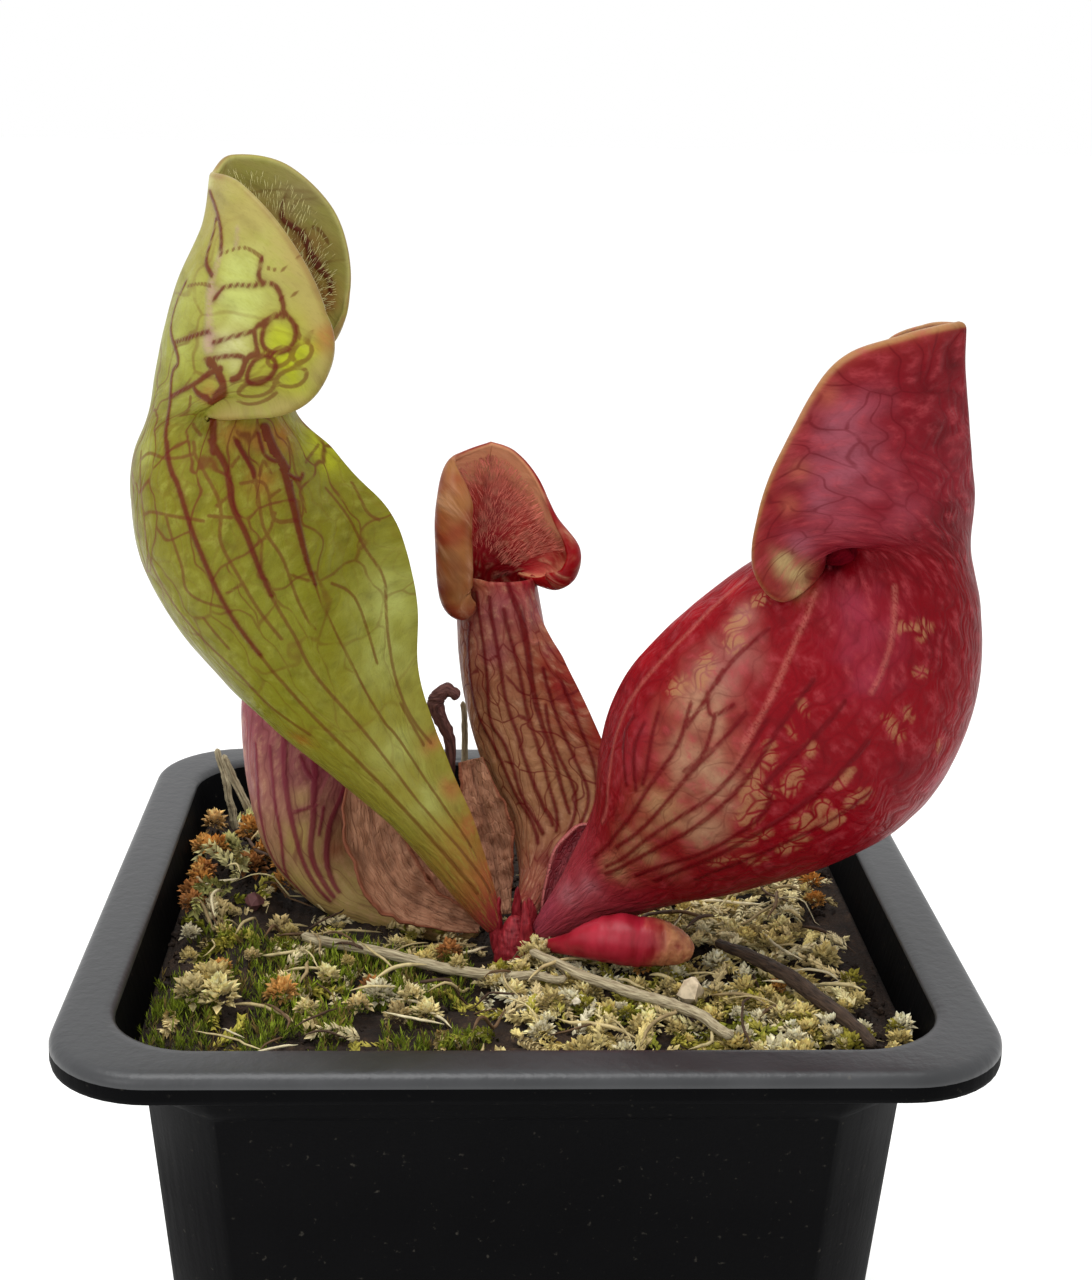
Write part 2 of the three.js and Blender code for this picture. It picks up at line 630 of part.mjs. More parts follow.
const TROUGHS = {
  dried_leaf_left: {
    colour: 'dried',
    rows: [[-4.4, -3.6, -3.8, 0.9], [-8.4, -3.4, -2.6, 1.9], [-12.8, -2.4, -0.6, 3.0],
      [-15.4, -0.8, 3.0, 3.4],
      [-16.6, 1.0, 7.6, 3.0], [-16.8, 3.2, 12.4, 2.0]],
    facing: [0.15, -1, 0.35],
    cup: 0.5,
    wave: 0.5,
    phase: 0.4,
  },
  dried_leaf_inner: {
    colour: 'dried',
    rows: [[-4.4, -1.2, -4.0, 0.8], [-6.6, -1.0, -1.6, 1.7], [-8.8, 0.6, 1.8, 2.6], [-11.0, 2.6, 6.2, 2.6],
      [-12.6, 4.0, 11.0, 1.6]],
    facing: [0.25, -1, 0.25],
    cup: 0.45,
    wave: 0.45,
    phase: 2.1,
  },
  dried_leaf_back: {
    colour: 'dried',
    rows: [[-1.8, -1.0, -3.8, 0.8], [-2.5, 0.9, 0.2, 1.7], [-3.2, 2.4, 4.2, 2.4], [-4.6, 3.2, 8.6, 2.3],
      [-5.6, 4.8, 12.4, 1.3]],
    facing: [0.1, -1, 0.3],
    cup: 0.4,
    wave: 0.5,
    phase: 4.0,
  },
  maroon_leaf: {
    colour: 'maroon',
    rows: [[3.1, -5.2, -3.4, 0.7], [3.9, -3.9, 0.4, 1.2], [5.6, -2.8, 3.9, 1.6], [7.2, -2.3, 6.0, 1.4],
      [8.2, -1.9, 7.2, 0.5]],
    facing: [-0.5, -0.8, 0.5],
    cup: 0.8,
    wave: 0.1,
    phase: 0,
  },
};
const TROUGH_THICKNESS = 0.75;

// Slim round pieces: each row is a point on its middle line and the radius there.
const RODS = {
  small_red_leaf: {
    colour: 'red_leaf',
    sides: 10,
    rows: [[2.6, -10.0, -3.4, 0.7], [4.6, -13.6, -1.6, 1.1], [7.4, -16.0, 0.0, 2.1], [9.6, -16.8, 0.5, 2.6],
      [12.0, -17.0, 0.4, 2.6], [14.4, -17.2, 0.1, 2.3], [16.2, -17.2, -0.4, 1.7], [17.4, -17.2, -0.9, 0.7]],
  },
  withered_tip: {
    colour: 'dried',
    sides: 6,
    rows: [[-8.6, 6.4, -9.0, 0.5], [-8.4, 5.6, 4.0, 0.55], [-7.7, 4.2, 13.6, 0.6], [-8.8, 4.0, 17.2, 0.8],
      [-9.4, 4.0, 19.4, 0.9], [-8.3, 4.0, 20.8, 0.8], [-6.9, 4.0, 20.0, 0.55]],
  },
  pale_stalk: {
    colour: 'twig',
    sides: 5,
    rows: [[-5.9, 14.2, -9.0, 0.42], [-6.1, 14.1, 4.0, 0.42], [-6.4, 14.0, 16.2, 0.35]],
  },
  straw_left: {
    colour: 'twig',
    sides: 5,
    rows: [[-34.6, 30.6, -9.0, 0.5], [-35.4, 31.2, -3.0, 0.5], [-37.2, 32.0, 4.2, 0.4]],
  },
  straw_right: {
    colour: 'twig',
    sides: 5,
    rows: [[-30.6, 24.6, -9.0, 0.55], [-31.8, 24.8, -3.0, 0.55], [-35.6, 25.2, 5.6, 0.4]],
  },
  twig_left: {
    colour: 'twig',
    sides: 5,
    rows: [[-23.7, -8.6, -3.0, 0.5], [-17.1, -12.2, -2.6, 0.6], [-7.6, -16.9, -2.8, 0.55],
      [0.4, -18.8, -2.8, 0.5],
      [4.4, -19.5, -2.8, 0.4]],
  },
  twig_front: {
    colour: 'twig',
    sides: 5,
    rows: [[0.8, -12.8, -2.6, 0.45], [8.8, -21.6, -2.4, 0.6], [15.2, -26.6, -2.4, 0.6],
      [19.8, -32.6, -2.6, 0.5]],
  },
  twig_dark: {
    colour: 'dark_twig',
    sides: 5,
    rows: [[20.6, -10.6, -2.6, 0.5], [25.2, -17.4, -2.0, 0.75], [29.4, -25.6, -2.0, 0.8],
      [33.0, -34.6, -2.6, 0.6]],
  },
};

function rodAlong(rows, sides, steps, grow) {
  const path = [];
  const radii = [];
  for (let i = 0; i <= steps; i += 1) {
    const [x, y, z, radius] = along(rows, i / steps);
    path.push(vec(x, y, z));
    radii.push(radius + grow);
  }
  return rod(path, radii, sides);
}

// Crown: a short stem, half buried, with a few pointed bracts round its top.
const CROWN_STEM = [[-13, 1.4], [-9, 2.3], [-5.5, 2.4], [-3, 2.1], [-1.2, 1.5], [0, 0.8]];
const CROWN_REACH = 3;

function makeCrown() {
  const [x, y] = CROWN_AT;
  const stem = rod(CROWN_STEM.map(([z]) => vec(x, y, z)), CROWN_STEM.map(([, radius]) => radius), 8);
  const bracts = [0, 1, 2, 3].map((k) => {
    const turn = k * 2.4 + 0.5;
    const out = (reach, z) => vec(x + reach * Math.cos(turn), y + reach * Math.sin(turn), z);
    const path = [out(1.2, -7), out(2.0, -3.8), out(2.1, -1.2), out(1.7, 0.6 + 0.3 * k)];
    return rod(path, [0.6, 0.8, 0.6, 0.2], 4);
  });
  return joined([stem, ...bracts]);
}

function crownHole() {
  const [x, y] = CROWN_AT;
  const reach = CROWN_REACH + GAP;
  return rod([vec(x, y, -13 - GAP), vec(x, y, -9), vec(x, y, 6)], [1.4 + GAP, reach, reach], 12);
}

// Assembly: the plant and its ground are drawn from the rim's top, so their group stands at that height.
const root = new THREE.Group();
const atRim = new THREE.Group();
atRim.position.z = POT_HEIGHT;
root.add(atRim);

function meshOf(name, colour, solid) {
  const [tint, roughness] = COLOURS[colour];
  const material = new THREE.MeshStandardMaterial({ color: tint, roughness, metalness: 0 });
  const mesh = new THREE.Mesh(geometryFrom(solid), material);
  mesh.name = name;
  return mesh;
}

root.add(meshOf('pot', 'pot', makePot()));

const feet = [];
for (const [name, leaf] of Object.entries(PITCHERS)) {
  const mesh = meshOf(name, leaf.colour, pitcher(leaf));
  mesh.position.set(...leaf.foot, 0);
  mesh.rotation.z = THREE.MathUtils.degToRad(leaf.azimuth);
  atRim.add(mesh);
  const foot = footprint(leaf.stations, LEAF_WALL / 2 + GAP, leaf.buriedUpTo);
  feet.push(foot.rotate([0, 0, leaf.azimuth]).translate([...leaf.foot, 0]));
}

const inGround = [crownHole(), ...feet];
for (const [name, leaf] of Object.entries(TROUGHS)) {
  atRim.add(meshOf(name, leaf.colour, trough(leaf, TROUGH_THICKNESS, 0)));
  inGround.push(trough(leaf, TROUGH_THICKNESS + 2 * GAP, GAP));
}
for (const [name, piece] of Object.entries(RODS)) {
  const steps = (piece.rows.length - 1) * 2;
  atRim.add(meshOf(name, piece.colour, rodAlong(piece.rows, piece.sides, steps, 0)));
  inGround.push(rodAlong(piece.rows, piece.sides, steps, GAP));
}
atRim.add(meshOf('crown', 'crown', mainBody(makeCrown().subtract(joined(feet)))));

// Ground: peat fills the pot, and moss and sphagnum lie on it in patches.
const POT_MOUTH_AREA = [-40, 40, -40, 40];
const GROUND_STEP = 5;
const PATCH_STEP = 3.5;
const filling = potFilling().translate(0, 0, -POT_HEIGHT);
const holes = joined(inGround);
const peat = below(peatTop, POT_MOUTH_AREA, GROUND_STEP).intersect(filling).subtract(holes);
atRim.add(meshOf('growing_medium', 'peat', mainBody(peat)));

const overPeat = below((x, y) => peatTop(x, y) + GAP, POT_MOUTH_AREA, GROUND_STEP);
const PATCHES = {
  moss_green: {
    colour: 'moss',
    outline: MOSS_OUTLINE,
    top: mossTop,
    growth: () => tufts(MOSS_OUTLINE, mossTop, 50, 1.9, 3),
  },
  sphagnum_pale: {
    colour: 'pale',
    outline: PALE_OUTLINE,
    top: paleTop,
    growth: () => strands(PALE_OUTLINE, paleTop, 34, 6, 0.85, 5),
  },
  sphagnum_rust: {
    colour: 'rust',
    outline: RUST_OUTLINE,
    top: rustTop,
    growth: () => strands(RUST_OUTLINE, rustTop, 12, 3.8, 0.85, 9),
  },
};

for (const [name, patch] of Object.entries(PATCHES)) {
  const xs = patch.outline.map(([x]) => x);
  const ys = patch.outline.map(([, y]) => y);
  const area = [Math.min(...xs) - 1, Math.max(...xs) + 1, Math.min(...ys) - 1, Math.max(...ys) + 1];
  const bed = below(patch.top, area, PATCH_STEP).intersect(patchPrism(patch.outline));
  const grown = joined([bed, ...patch.growth()]).intersect(filling);
  atRim.add(meshOf(name, patch.colour, mainBody(grown.subtract(overPeat).subtract(holes))));
}

export default root;
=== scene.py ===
import math

import bpy
import numpy as np
from mathutils import Matrix, Vector
from mathutils.kdtree import KDTree


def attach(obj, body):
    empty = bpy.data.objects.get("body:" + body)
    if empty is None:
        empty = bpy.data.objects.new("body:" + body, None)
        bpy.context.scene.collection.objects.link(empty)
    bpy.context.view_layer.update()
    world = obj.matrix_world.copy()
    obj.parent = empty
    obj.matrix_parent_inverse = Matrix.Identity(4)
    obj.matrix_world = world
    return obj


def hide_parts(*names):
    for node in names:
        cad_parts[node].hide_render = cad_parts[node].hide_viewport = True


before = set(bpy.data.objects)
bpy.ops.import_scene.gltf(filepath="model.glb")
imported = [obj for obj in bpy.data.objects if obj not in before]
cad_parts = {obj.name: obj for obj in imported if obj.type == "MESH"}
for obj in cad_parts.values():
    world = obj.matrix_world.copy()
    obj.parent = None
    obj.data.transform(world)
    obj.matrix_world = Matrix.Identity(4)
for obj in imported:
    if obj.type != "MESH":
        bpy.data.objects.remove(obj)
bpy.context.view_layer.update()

# Floor, light and camera. The pot stands on a plain pale floor under one broad overhead
# softbox, with a white surround that the waxy leaves and the black rim mirror faintly.
stage = bpy.context.scene
stage.view_settings.view_transform = "Standard"
stage.view_settings.look = "None"

EYE = Vector((-0.007, -0.2072, 0.1675))
TURN, DIP, TILT = math.radians(2.6), math.radians(16.07), math.radians(1.12)
ahead = Vector((math.sin(TURN) * math.cos(DIP), math.cos(TURN) * math.cos(DIP), -math.sin(DIP)))
level = Vector((math.cos(TURN), -math.sin(TURN), 0))
upward = level.cross(ahead)
right = math.cos(TILT) * level + math.sin(TILT) * upward
top = math.cos(TILT) * upward - math.sin(TILT) * level
FOCAL_PIXELS, PHOTO_HEIGHT = 2009.4, 1280
lens = bpy.data.cameras.new("eye")
lens.sensor_fit = "VERTICAL"
lens.sensor_height = 36
lens.lens = FOCAL_PIXELS / PHOTO_HEIGHT * lens.sensor_height
lens.clip_start = 0.01
eye = bpy.data.objects.new("eye", lens)
stage.collection.objects.link(eye)
eye.matrix_world = Matrix((
    (right.x, top.x, -ahead.x, EYE.x),
    (right.y, top.y, -ahead.y, EYE.y),
    (right.z, top.z, -ahead.z, EYE.z),
    (0, 0, 0, 1),
))
stage.camera = eye

room = bpy.data.worlds.new("room")
room.use_nodes = True
room.node_tree.nodes["Background"].inputs["Color"].default_value = (1, 1, 1, 1)
room.node_tree.nodes["Background"].inputs["Strength"].default_value = 1.0
stage.world = room


def softbox(name, place, aim, width, watts):
    """A square lamp, aimed at a point of the plant."""
    lamp = bpy.data.lights.new(name, "AREA")
    lamp.shape = "SQUARE"
    lamp.size = width
    lamp.energy = watts
    box = bpy.data.objects.new(name, lamp)
    stage.collection.objects.link(box)
    box.location = place
    box.rotation_euler = (Vector(aim) - Vector(place)).to_track_quat("-Z", "Y").to_euler()


softbox("overhead", (-0.12, -0.10, 0.85), (0, 0, 0.08), 0.5, 3.6)
softbox("front_left", (-0.55, -0.75, 0.55), (0, 0, 0.09), 0.5, 1.4)


# Maths on a material's sockets, written as plain expressions.
class Wire:
    def __init__(self, tree, socket=None):
        self.tree = tree
        self.socket = socket

    def node(self, kind, settings=None, inputs=None, out=0):
        made = self.tree.nodes.new("ShaderNode" + kind)
        for key, value in (settings or {}).items():
            if key == "stops":
                points = made.color_ramp.elements
                while len(points) < len(value):
                    points.new(0.5)
                for point, (place, colour) in zip(points, value):
                    point.position = place
                    point.color = colour
            else:
                setattr(made, key, value)
        for key, value in (inputs or {}).items():
            if isinstance(value, Wire):
                self.tree.links.new(value.socket, made.inputs[key])
            else:
                made.inputs[key].default_value = value
        return Wire(self.tree, made.outputs[out])

    def maths(self, operation, first, second=0.0):
        return self.node("Math", {"operation": operation}, {0: first, 1: second})

    def __add__(self, other):
        return self.maths("ADD", self, other)

    def __radd__(self, other):
        return self.maths("ADD", other, self)

    def __sub__(self, other):
        return self.maths("SUBTRACT", self, other)

    def __rsub__(self, other):
        return self.maths("SUBTRACT", other, self)

    def __mul__(self, other):
        return self.maths("MULTIPLY", self, other)

    def __rmul__(self, other):
        return self.maths("MULTIPLY", other, self)

    def between(self, low, high):
        """0 where this is below low, 1 where it is above high, and a smooth step from one to the other."""
        ends = {"Value": self, "From Min": low, "From Max": high}
        return self.node("MapRange", {"interpolation_type": "SMOOTHSTEP"}, ends)

    def mark(self, name, out="Fac"):
        """What a piece carries under this name for its finish to read."""
        return self.node("Attribute", {"attribute_name": name}, {}, out)

    def place(self):
        """Places on the piece, in metres."""
        return self.node("TexCoord", {}, {}, "Object")

    def stretched(self, *scale):
        """These places, scaled along each axis."""
        return self.node("Mapping", {}, {"Vector": self, "Scale": scale})

    def noise(self, scale, detail=3.0):
        """Cloudy values over these places."""
        return self.node("TexNoise", {}, {"Vector": self, "Scale": scale, "Detail": detail})

    def cells(self, scale):
        """Distance from the nearest edge in a flat net of cells over these places."""
        flat = {"voronoi_dimensions": "2D", "feature": "DISTANCE_TO_EDGE"}
        return self.node("TexVoronoi", flat, {"Vector": self, "Scale": scale}, "Distance")

    def ramp(self, *stops):
        """A colour that follows this value; each stop is a value and its colour."""
        return self.node("ValToRGB", {"stops": stops}, {0: self})

    def over(self, colour, share):
        """Lays another colour over this one."""
        return self.node("Mix", {"data_type": "RGBA"}, {0: share, 6: self, 7: colour}, 2)

    def shade(self, share, colour):
        """Multiplies this colour by another, by a share."""
        multiply = {"data_type": "RGBA", "blend_type": "MULTIPLY"}
        return self.node("Mix", multiply, {0: share, 6: self, 7: colour}, 2)

    def bump(self, depth, under=None):
        """A relief of this height, in metres, over another one."""
        inputs = {"Height": self, "Distance": depth, "Strength": 1.0}
        if under:
            inputs["Normal"] = under
        return self.node("Bump", {}, inputs)


def tint(red, green, blue):
    """A colour given as on a screen, 0 to 255, as the light it reflects."""
    def light(value):
        value = value / 255
        return value / 12.92 if value <= 0.04045 else ((value + 0.055) / 1.055) ** 2.4
    return (light(red), light(green), light(blue), 1.0)


def new_finish(name, **fixed):
    """A material with some of its shader's inputs set: the material, its shader and a first wire."""
    finish = bpy.data.materials.new(name)
    finish.use_nodes = True
    shader = finish.node_tree.nodes["Principled BSDF"]
    for key, value in fixed.items():
        shader.inputs[key.replace("_", " ")].default_value = value
    return finish, shader, Wire(finish.node_tree)


def feed(shader, **wires):
    """Leads wires to a shader's inputs."""
    for key, wire in wires.items():
        wire.tree.links.new(wire.socket, shader.inputs[key.replace("_", " ")])


FLOOR_LEVEL = -0.0004
floor_finish, shader, start = new_finish(
    "floor", Roughness=0.9, Emission_Color=(1, 1, 1, 1), Emission_Strength=0.05
)
grain = start.place().noise(60.0)
feed(shader, Base_Color=grain.ramp((0.3, tint(250, 250, 249)), (0.7, tint(255, 255, 254))))
floor_mesh = bpy.data.meshes.new("floor")
floor_corners = [(x, y, FLOOR_LEVEL) for x, y in ((-3, -2), (3, -2), (3, 4), (-3, 4))]
floor_mesh.from_pydata(floor_corners, [], [(0, 1, 2, 3)])
floor = bpy.data.objects.new("floor", floor_mesh)
stage.collection.objects.link(floor)
floor.data.materials.append(floor_finish)


# Pot. Moulded black plastic, square with a broad flat rim; the corners of its body are cut
# across, faint draw lines run down its walls and eight drain holes go through its base.
MM = 0.001
RIM_TOP, RIM_WIDTH = 80.0, 90.0
FOOT_WIDTH, BODY_FLARE, BODY_TOP = 63.4, 11.0, 71.4
BODY_CHAMFER = 0.75
SHEEN_FROM = 78.5
DRAIN_SPACING, DRAIN_RADIUS, DRAIN_SIDES = 21.7, 4.5, 32


def shape(name, points, faces, finish, node=None, slot=None, marks=None, smooth=True):
    """A piece of the object from points in millimetres, with marks that its finish reads."""
    points = np.asarray(points, float).reshape(-1, 3)
    faces = [np.asarray(group, int) for group in faces if len(group)]
    counts = np.concatenate([np.full(len(group), group.shape[1]) for group in faces])
    corners = np.concatenate([group.ravel() for group in faces])
    mesh = bpy.data.meshes.new(name)
    mesh.vertices.add(len(points))
    mesh.vertices.foreach_set("co", (points * MM).astype(np.float32).ravel())
    mesh.loops.add(len(corners))
    mesh.loops.foreach_set("vertex_index", corners.astype(np.int32))
    mesh.polygons.add(len(counts))
    mesh.polygons.foreach_set("loop_start", (np.cumsum(counts) - counts).astype(np.int32))
    mesh.polygons.foreach_set("use_smooth", np.full(len(counts), smooth))
    mesh.update(calc_edges=True)
    for key, values in (marks or {}).items():
        values = np.asarray(values, np.float32)
        if values.ndim == 1:
            mesh.attributes.new(key, "FLOAT", "POINT").data.foreach_set("value", values)
        elif values.shape[1] == 4:
            mesh.attributes.new(key, "FLOAT_COLOR", "POINT").data.foreach_set("color", values.ravel())
        else:
            mesh.attributes.new(key, "FLOAT_VECTOR", "POINT").data.foreach_set("vector", values.ravel())
    mesh.validate()
    piece = bpy.data.objects.new(name, mesh)
    stage.collection.objects.link(piece)
    mesh.materials.append(finish)
    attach(piece, "root")
    if node:
        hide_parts(node)
    return piece


def pot_ring(width, corner, z, flat, steps=12):
    """A level square ring; flat runs from 0, a round corner, to 1, a corner cut straight across."""
    share = np.linspace(0, 1, steps + 1)
    turn = share * math.pi / 2
    reach = width / 2 - corner
    x = reach + corner * (np.cos(turn) * (1 - flat) + (1 - share) * flat)
    y = reach + corner * (np.sin(turn) * (1 - flat) + share * flat)
    ring = []
    for quarter in range(4):
        c, s = math.cos(quarter * math.pi / 2), math.sin(quarter * math.pi / 2)
        ring.append(np.stack([x * c - y * s, x * s + y * c, np.full_like(x, z)], 1))
    return np.concatenate(ring)


def ring_faces(rows, count, first=0):
    """Quads between rows of points, each row a closed ring of count points."""
    row = first + count * np.arange(rows - 1)[:, None]
    here = np.arange(count)
    after = (here + 1) % count
    quads = np.stack([row + here, row + after, row + count + after, row + count + here], -1)
    return quads.reshape(-1, 4)


def body_width(z):
    """Across the tapered body, at a height."""
    return FOOT_WIDTH + BODY_FLARE * z / BODY_TOP


def wall_ring(z, inset, corner):
    """A ring of the tapered body, set in from its outside."""
    return body_width(z) - 2 * inset, corner, z, BODY_CHAMFER


def make_pot():
    """The pot as rings of width, corner, height and flatness: up its outside, over the rim and down
    its inside, closed by a point in the middle of the base's two faces."""
    foot = [(61.0, 7, 0.0, BODY_CHAMFER), (62.6, 7, 0.25, BODY_CHAMFER)]
    walls = [wall_ring(z, 0, 7) for z in (1.2, 1.6)]
    walls += [wall_ring(z, 0, 7 + 0.6 * z / BODY_TOP) for z in (20, 40, 60, 71.0)]
    skirt = [
        (75.4, 8.2, 71.6, 0.6), (76.6, 9, 72.2, 0.4), (77.0, 9.05, 72.8, 0.36), (79.2, 9.35, 75.7, 0.12),
        (79.6, 9.4, 76.3, 0.1), (80.4, 9.4, 76.7, 0.06), (87.0, 9.4, 77.35, 0), (87.7, 9.4, 77.3, 0),
        (88.1, 9.6, 77.0, 0), (89.2, 10.1, 76.95, 0), (89.8, 10.3, 77.15, 0), (RIM_WIDTH, 10.4, 77.6, 0),
        (RIM_WIDTH, 10.4, 78.7, 0),
    ]
    roll = [
        (RIM_WIDTH - 2.4 * (1 - math.cos(a)), 10.4 - 0.8 * (1 - math.cos(a)), 78.75 + 1.2 * math.sin(a), 0)
        for a in np.linspace(0.15, 1.45, 8)
    ]
    top_face = [
        (87.0, 9.75, RIM_TOP, 0), (84.0, 9.5, RIM_TOP, 0), (81.2, 9.25, RIM_TOP, 0), (80.0, 9.1, 79.95, 0),
        (79.3, 8.95, 79.75, 0), (78.95, 8.8, 79.3, 0), (76.6, 8.45, 73.9, 0.1), (76.2, 8.35, 73.3, 0.14),
    ]
    inner = [wall_ring(70.9, 1.0, 7.05), wall_ring(70.2, 1.1, 7), wall_ring(40, 1.1, 6.7)]
    inner += [wall_ring(3.0, 1.1, 6.4), wall_ring(1.9, 1.2, 6.3), wall_ring(1.6, 1.7, 6.2)]
    profile = foot + walls + skirt + roll + top_face + inner
    rings = [pot_ring(*row) for row in profile]
    count = len(rings[0])
    points = np.concatenate([*rings, [[0, 0, 0.0], [0, 0, 1.6]]])
    k = np.arange(count)
    last = (len(profile) - 1) * count
    under = np.stack([(k + 1) % count, k, np.full(count, len(points) - 2)], 1)
    base = np.stack([last + k, last + (k + 1) % count, np.full(count, len(points) - 1)], 1)
    return points, [ring_faces(len(profile), count), under, base]


def plastic(name, dark, light, roughness, **fixed):
    """Moulded plastic with a haze, grit and faint draw lines."""
    finish, shader, start = new_finish(name, **fixed)
    place = start.place()
    streaks = place.stretched(900, 900, 9).noise(1.0, 2.0)
    haze = place.noise(90.0, 4.0)
    grit = place.noise(1400.0, 3.0).between(0.66, 0.8)
    feed(
        shader,
        Base_Color=haze.ramp((0.3, dark), (0.75, light)).over(tint(88, 84, 76), grit * 0.35),
        Roughness=haze * 0.24 + grit * 0.2 + roughness,
        Normal=streaks.bump(0.00006, place.noise(2200.0, 2.0).bump(0.00002)),
    )
    return finish


def drain_posts():
    """Round posts that cut the base's holes: three by three of them, without the middle one."""
    turn = np.linspace(0, 2 * math.pi, DRAIN_SIDES, endpoint=False)
    rows = (-DRAIN_SPACING, 0, DRAIN_SPACING)
    points, faces = [], []
    for cx, cy in [(x, y) for x in rows for y in rows if x or y]:
        first = len(points) * 2 * DRAIN_SIDES
        edge = np.stack([cx + DRAIN_RADIUS * np.cos(turn), cy + DRAIN_RADIUS * np.sin(turn)], 1)
        points.append(np.concatenate([np.c_[edge, np.full(DRAIN_SIDES, z)] for z in (-3, 3)]))
        lower = first + np.arange(DRAIN_SIDES)
        faces += ring_faces(2, DRAIN_SIDES, first).tolist()
        faces += [lower[::-1].tolist(), (lower + DRAIN_SIDES).tolist()]
    return (np.concatenate(points) * MM).tolist(), faces


def drill(pot):
    """Cuts the drain holes and leaves the pot with the mesh that results."""
    posts, faces = drain_posts()
    mesh = bpy.data.meshes.new("drain_cutter")
    mesh.from_pydata(posts, [], faces)
    cutter = bpy.data.objects.new("drain_cutter", mesh)
    stage.collection.objects.link(cutter)
    cut = pot.modifiers.new("drains", "BOOLEAN")
    cut.operation = "DIFFERENCE"
    cut.solver = "EXACT"
    cut.object = cutter
    bpy.context.view_layer.update()
    drilled = pot.evaluated_get(bpy.context.evaluated_depsgraph_get())
    mesh = bpy.data.meshes.new_from_object(drilled)
    pot.modifiers.clear()
    pot.data = mesh
    bpy.data.objects.remove(cutter)


pot_finish = plastic("pot_plastic", tint(3, 3, 4), tint(8, 8, 9), 0.45, Specular_IOR_Level=0.03)
# Painted highlight: the rim is the body's black plastic in a lighter grey, for the sheen its top and rounded
# edge catch from above.
rim_sheen_finish = plastic("rim_plastic_sheen", tint(30, 31, 33), tint(50, 51, 53), 0.26, Specular_IOR_Level=0.55)
pot = shape("pot_wall", *make_pot(), pot_finish, "pot", "pot")
drill(pot)
pot.data.materials.append(rim_sheen_finish)
# Faces above SHEEN_FROM take that lighter finish: painted highlight on the same black plastic.
for face in pot.data.polygons:
    if face.center.z > SHEEN_FROM * MM:
        face.material_index = 1


# Growing medium. Dark damp peat fills the pot and rises in low banks under the moss; crumbs of
# peat and bark lie loose on it and show in the gaps between the sphagnum strands.
PEAT_DEPTH = 6.8
BED_REACH = 38
MOSS_BED = [
    (-38, -38), (-6, -38), (-3, -30), (-6.5, -22), (-4.5, -13), (-13, -9), (-22, -7), (-31, -4), (-38, -7),
]
PALE_BED = [
    (-5.4, -38), (38, -38), (38, -12), (31, -3), (38, 4), (30, 16), (17, 18), (9, 10), (6, 3), (2, -8),
    (-3.6, -12.6), (-5.7, -22), (-2.2, -30),
]
RUST_BED = [(-38, -5.8), (-31, -2.8), (-27, 2), (-24.5, 12), (-27, 24), (-38, 27)]


def lumps(x, y, size, seed):
    """A rolling height, about -1 to 1, made of waves that cross."""
    total = 0
    for k, weight in enumerate((1, 1, 1, 0.6, 0.6)):
        turn = k * 2.4 + seed
        run = (x * math.cos(turn) + y * math.sin(turn)) / size
        total = total + weight * np.sin(run * (1 + 0.37 * k) + 5.1 * k + seed)
    return total / 4.2


def within(outline, x, y):
    """Millimetres inside an outline; negative outside it."""
    x, y = np.asarray(x, float), np.asarray(y, float)
    distance = np.full(x.shape, 1e9)
    hit = np.zeros(x.shape, bool)
    for (x0, y0), (x1, y1) in zip(outline, outline[1:] + outline[:1]):
        dx, dy = x1 - x0, y1 - y0
        share = np.clip(((x - x0) * dx + (y - y0) * dy) / (dx * dx + dy * dy), 0, 1)
        distance = np.minimum(distance, np.hypot(x - x0 - share * dx, y - y0 - share * dy))
        crosses = (y0 > y) != (y1 > y)
        hit ^= crosses & (x < dx * (y - y0) / (dy if dy else 1e-9) + x0)
    return np.where(hit, distance, -distance)


def value_noise(x, y, z, size, seed=0):
    """Smooth random values from 0 to 1 that change over a given size."""
    x, y, z = (np.asarray(v, float) / size for v in np.broadcast_arrays(x, y, z))
    x0, y0, z0 = (np.floor(v).astype(np.int64) for v in (x, y, z))
    fx, fy, fz = x - x0, y - y0, z - z0
    fx, fy, fz = (f * f * (3 - 2 * f) for f in (fx, fy, fz))

    def corner(i, j, k):
        mixed = (i * 73856093) ^ (j * 19349663) ^ (k * 83492791) ^ (seed * 2654435761)
        mixed = (mixed ^ (mixed >> 13)) * 1274126177 & 0xFFFFFFFF
        return ((mixed ^ (mixed >> 16)) & 0xFFFF) / 65535

    total = 0
    for i in (0, 1):
        for j in (0, 1):
            for k in (0, 1):
                weight = (fx if i else 1 - fx) * (fy if j else 1 - fy) * (fz if k else 1 - fz)
                total = total + weight * corner(x0 + i, y0 + j, z0 + k)
    return total


def soft(low, high, value):
    """0 below low, 1 above high, and a smooth step between them."""
    share = np.clip((np.asarray(value, float) - low) / (high - low), 0, 1)
    return share * share * (3 - 2 * share)


def ground(x, y):
    """Height of the peat and its banks, counted from the rim's top."""
    rise = 0.0011 * np.maximum(0, np.hypot(x, y) - 22) ** 2
    height = -PEAT_DEPTH + 0.5 * lumps(x, y, 3.4, 2)
    banks = ((MOSS_BED, -4.9, 0.9, 3.2, 7), (PALE_BED, -5.2, 1.1, 2.7, 11), (RUST_BED, -4.4, 1.2, 2.6, 4))
    for outline, level_at, swing, size, seed in banks:
        share = soft(-0.4, 1.6, within(outline, x, y))
        height = height * (1 - share) + (level_at + swing * lumps(x, y, size, seed)) * share
    return height + rise


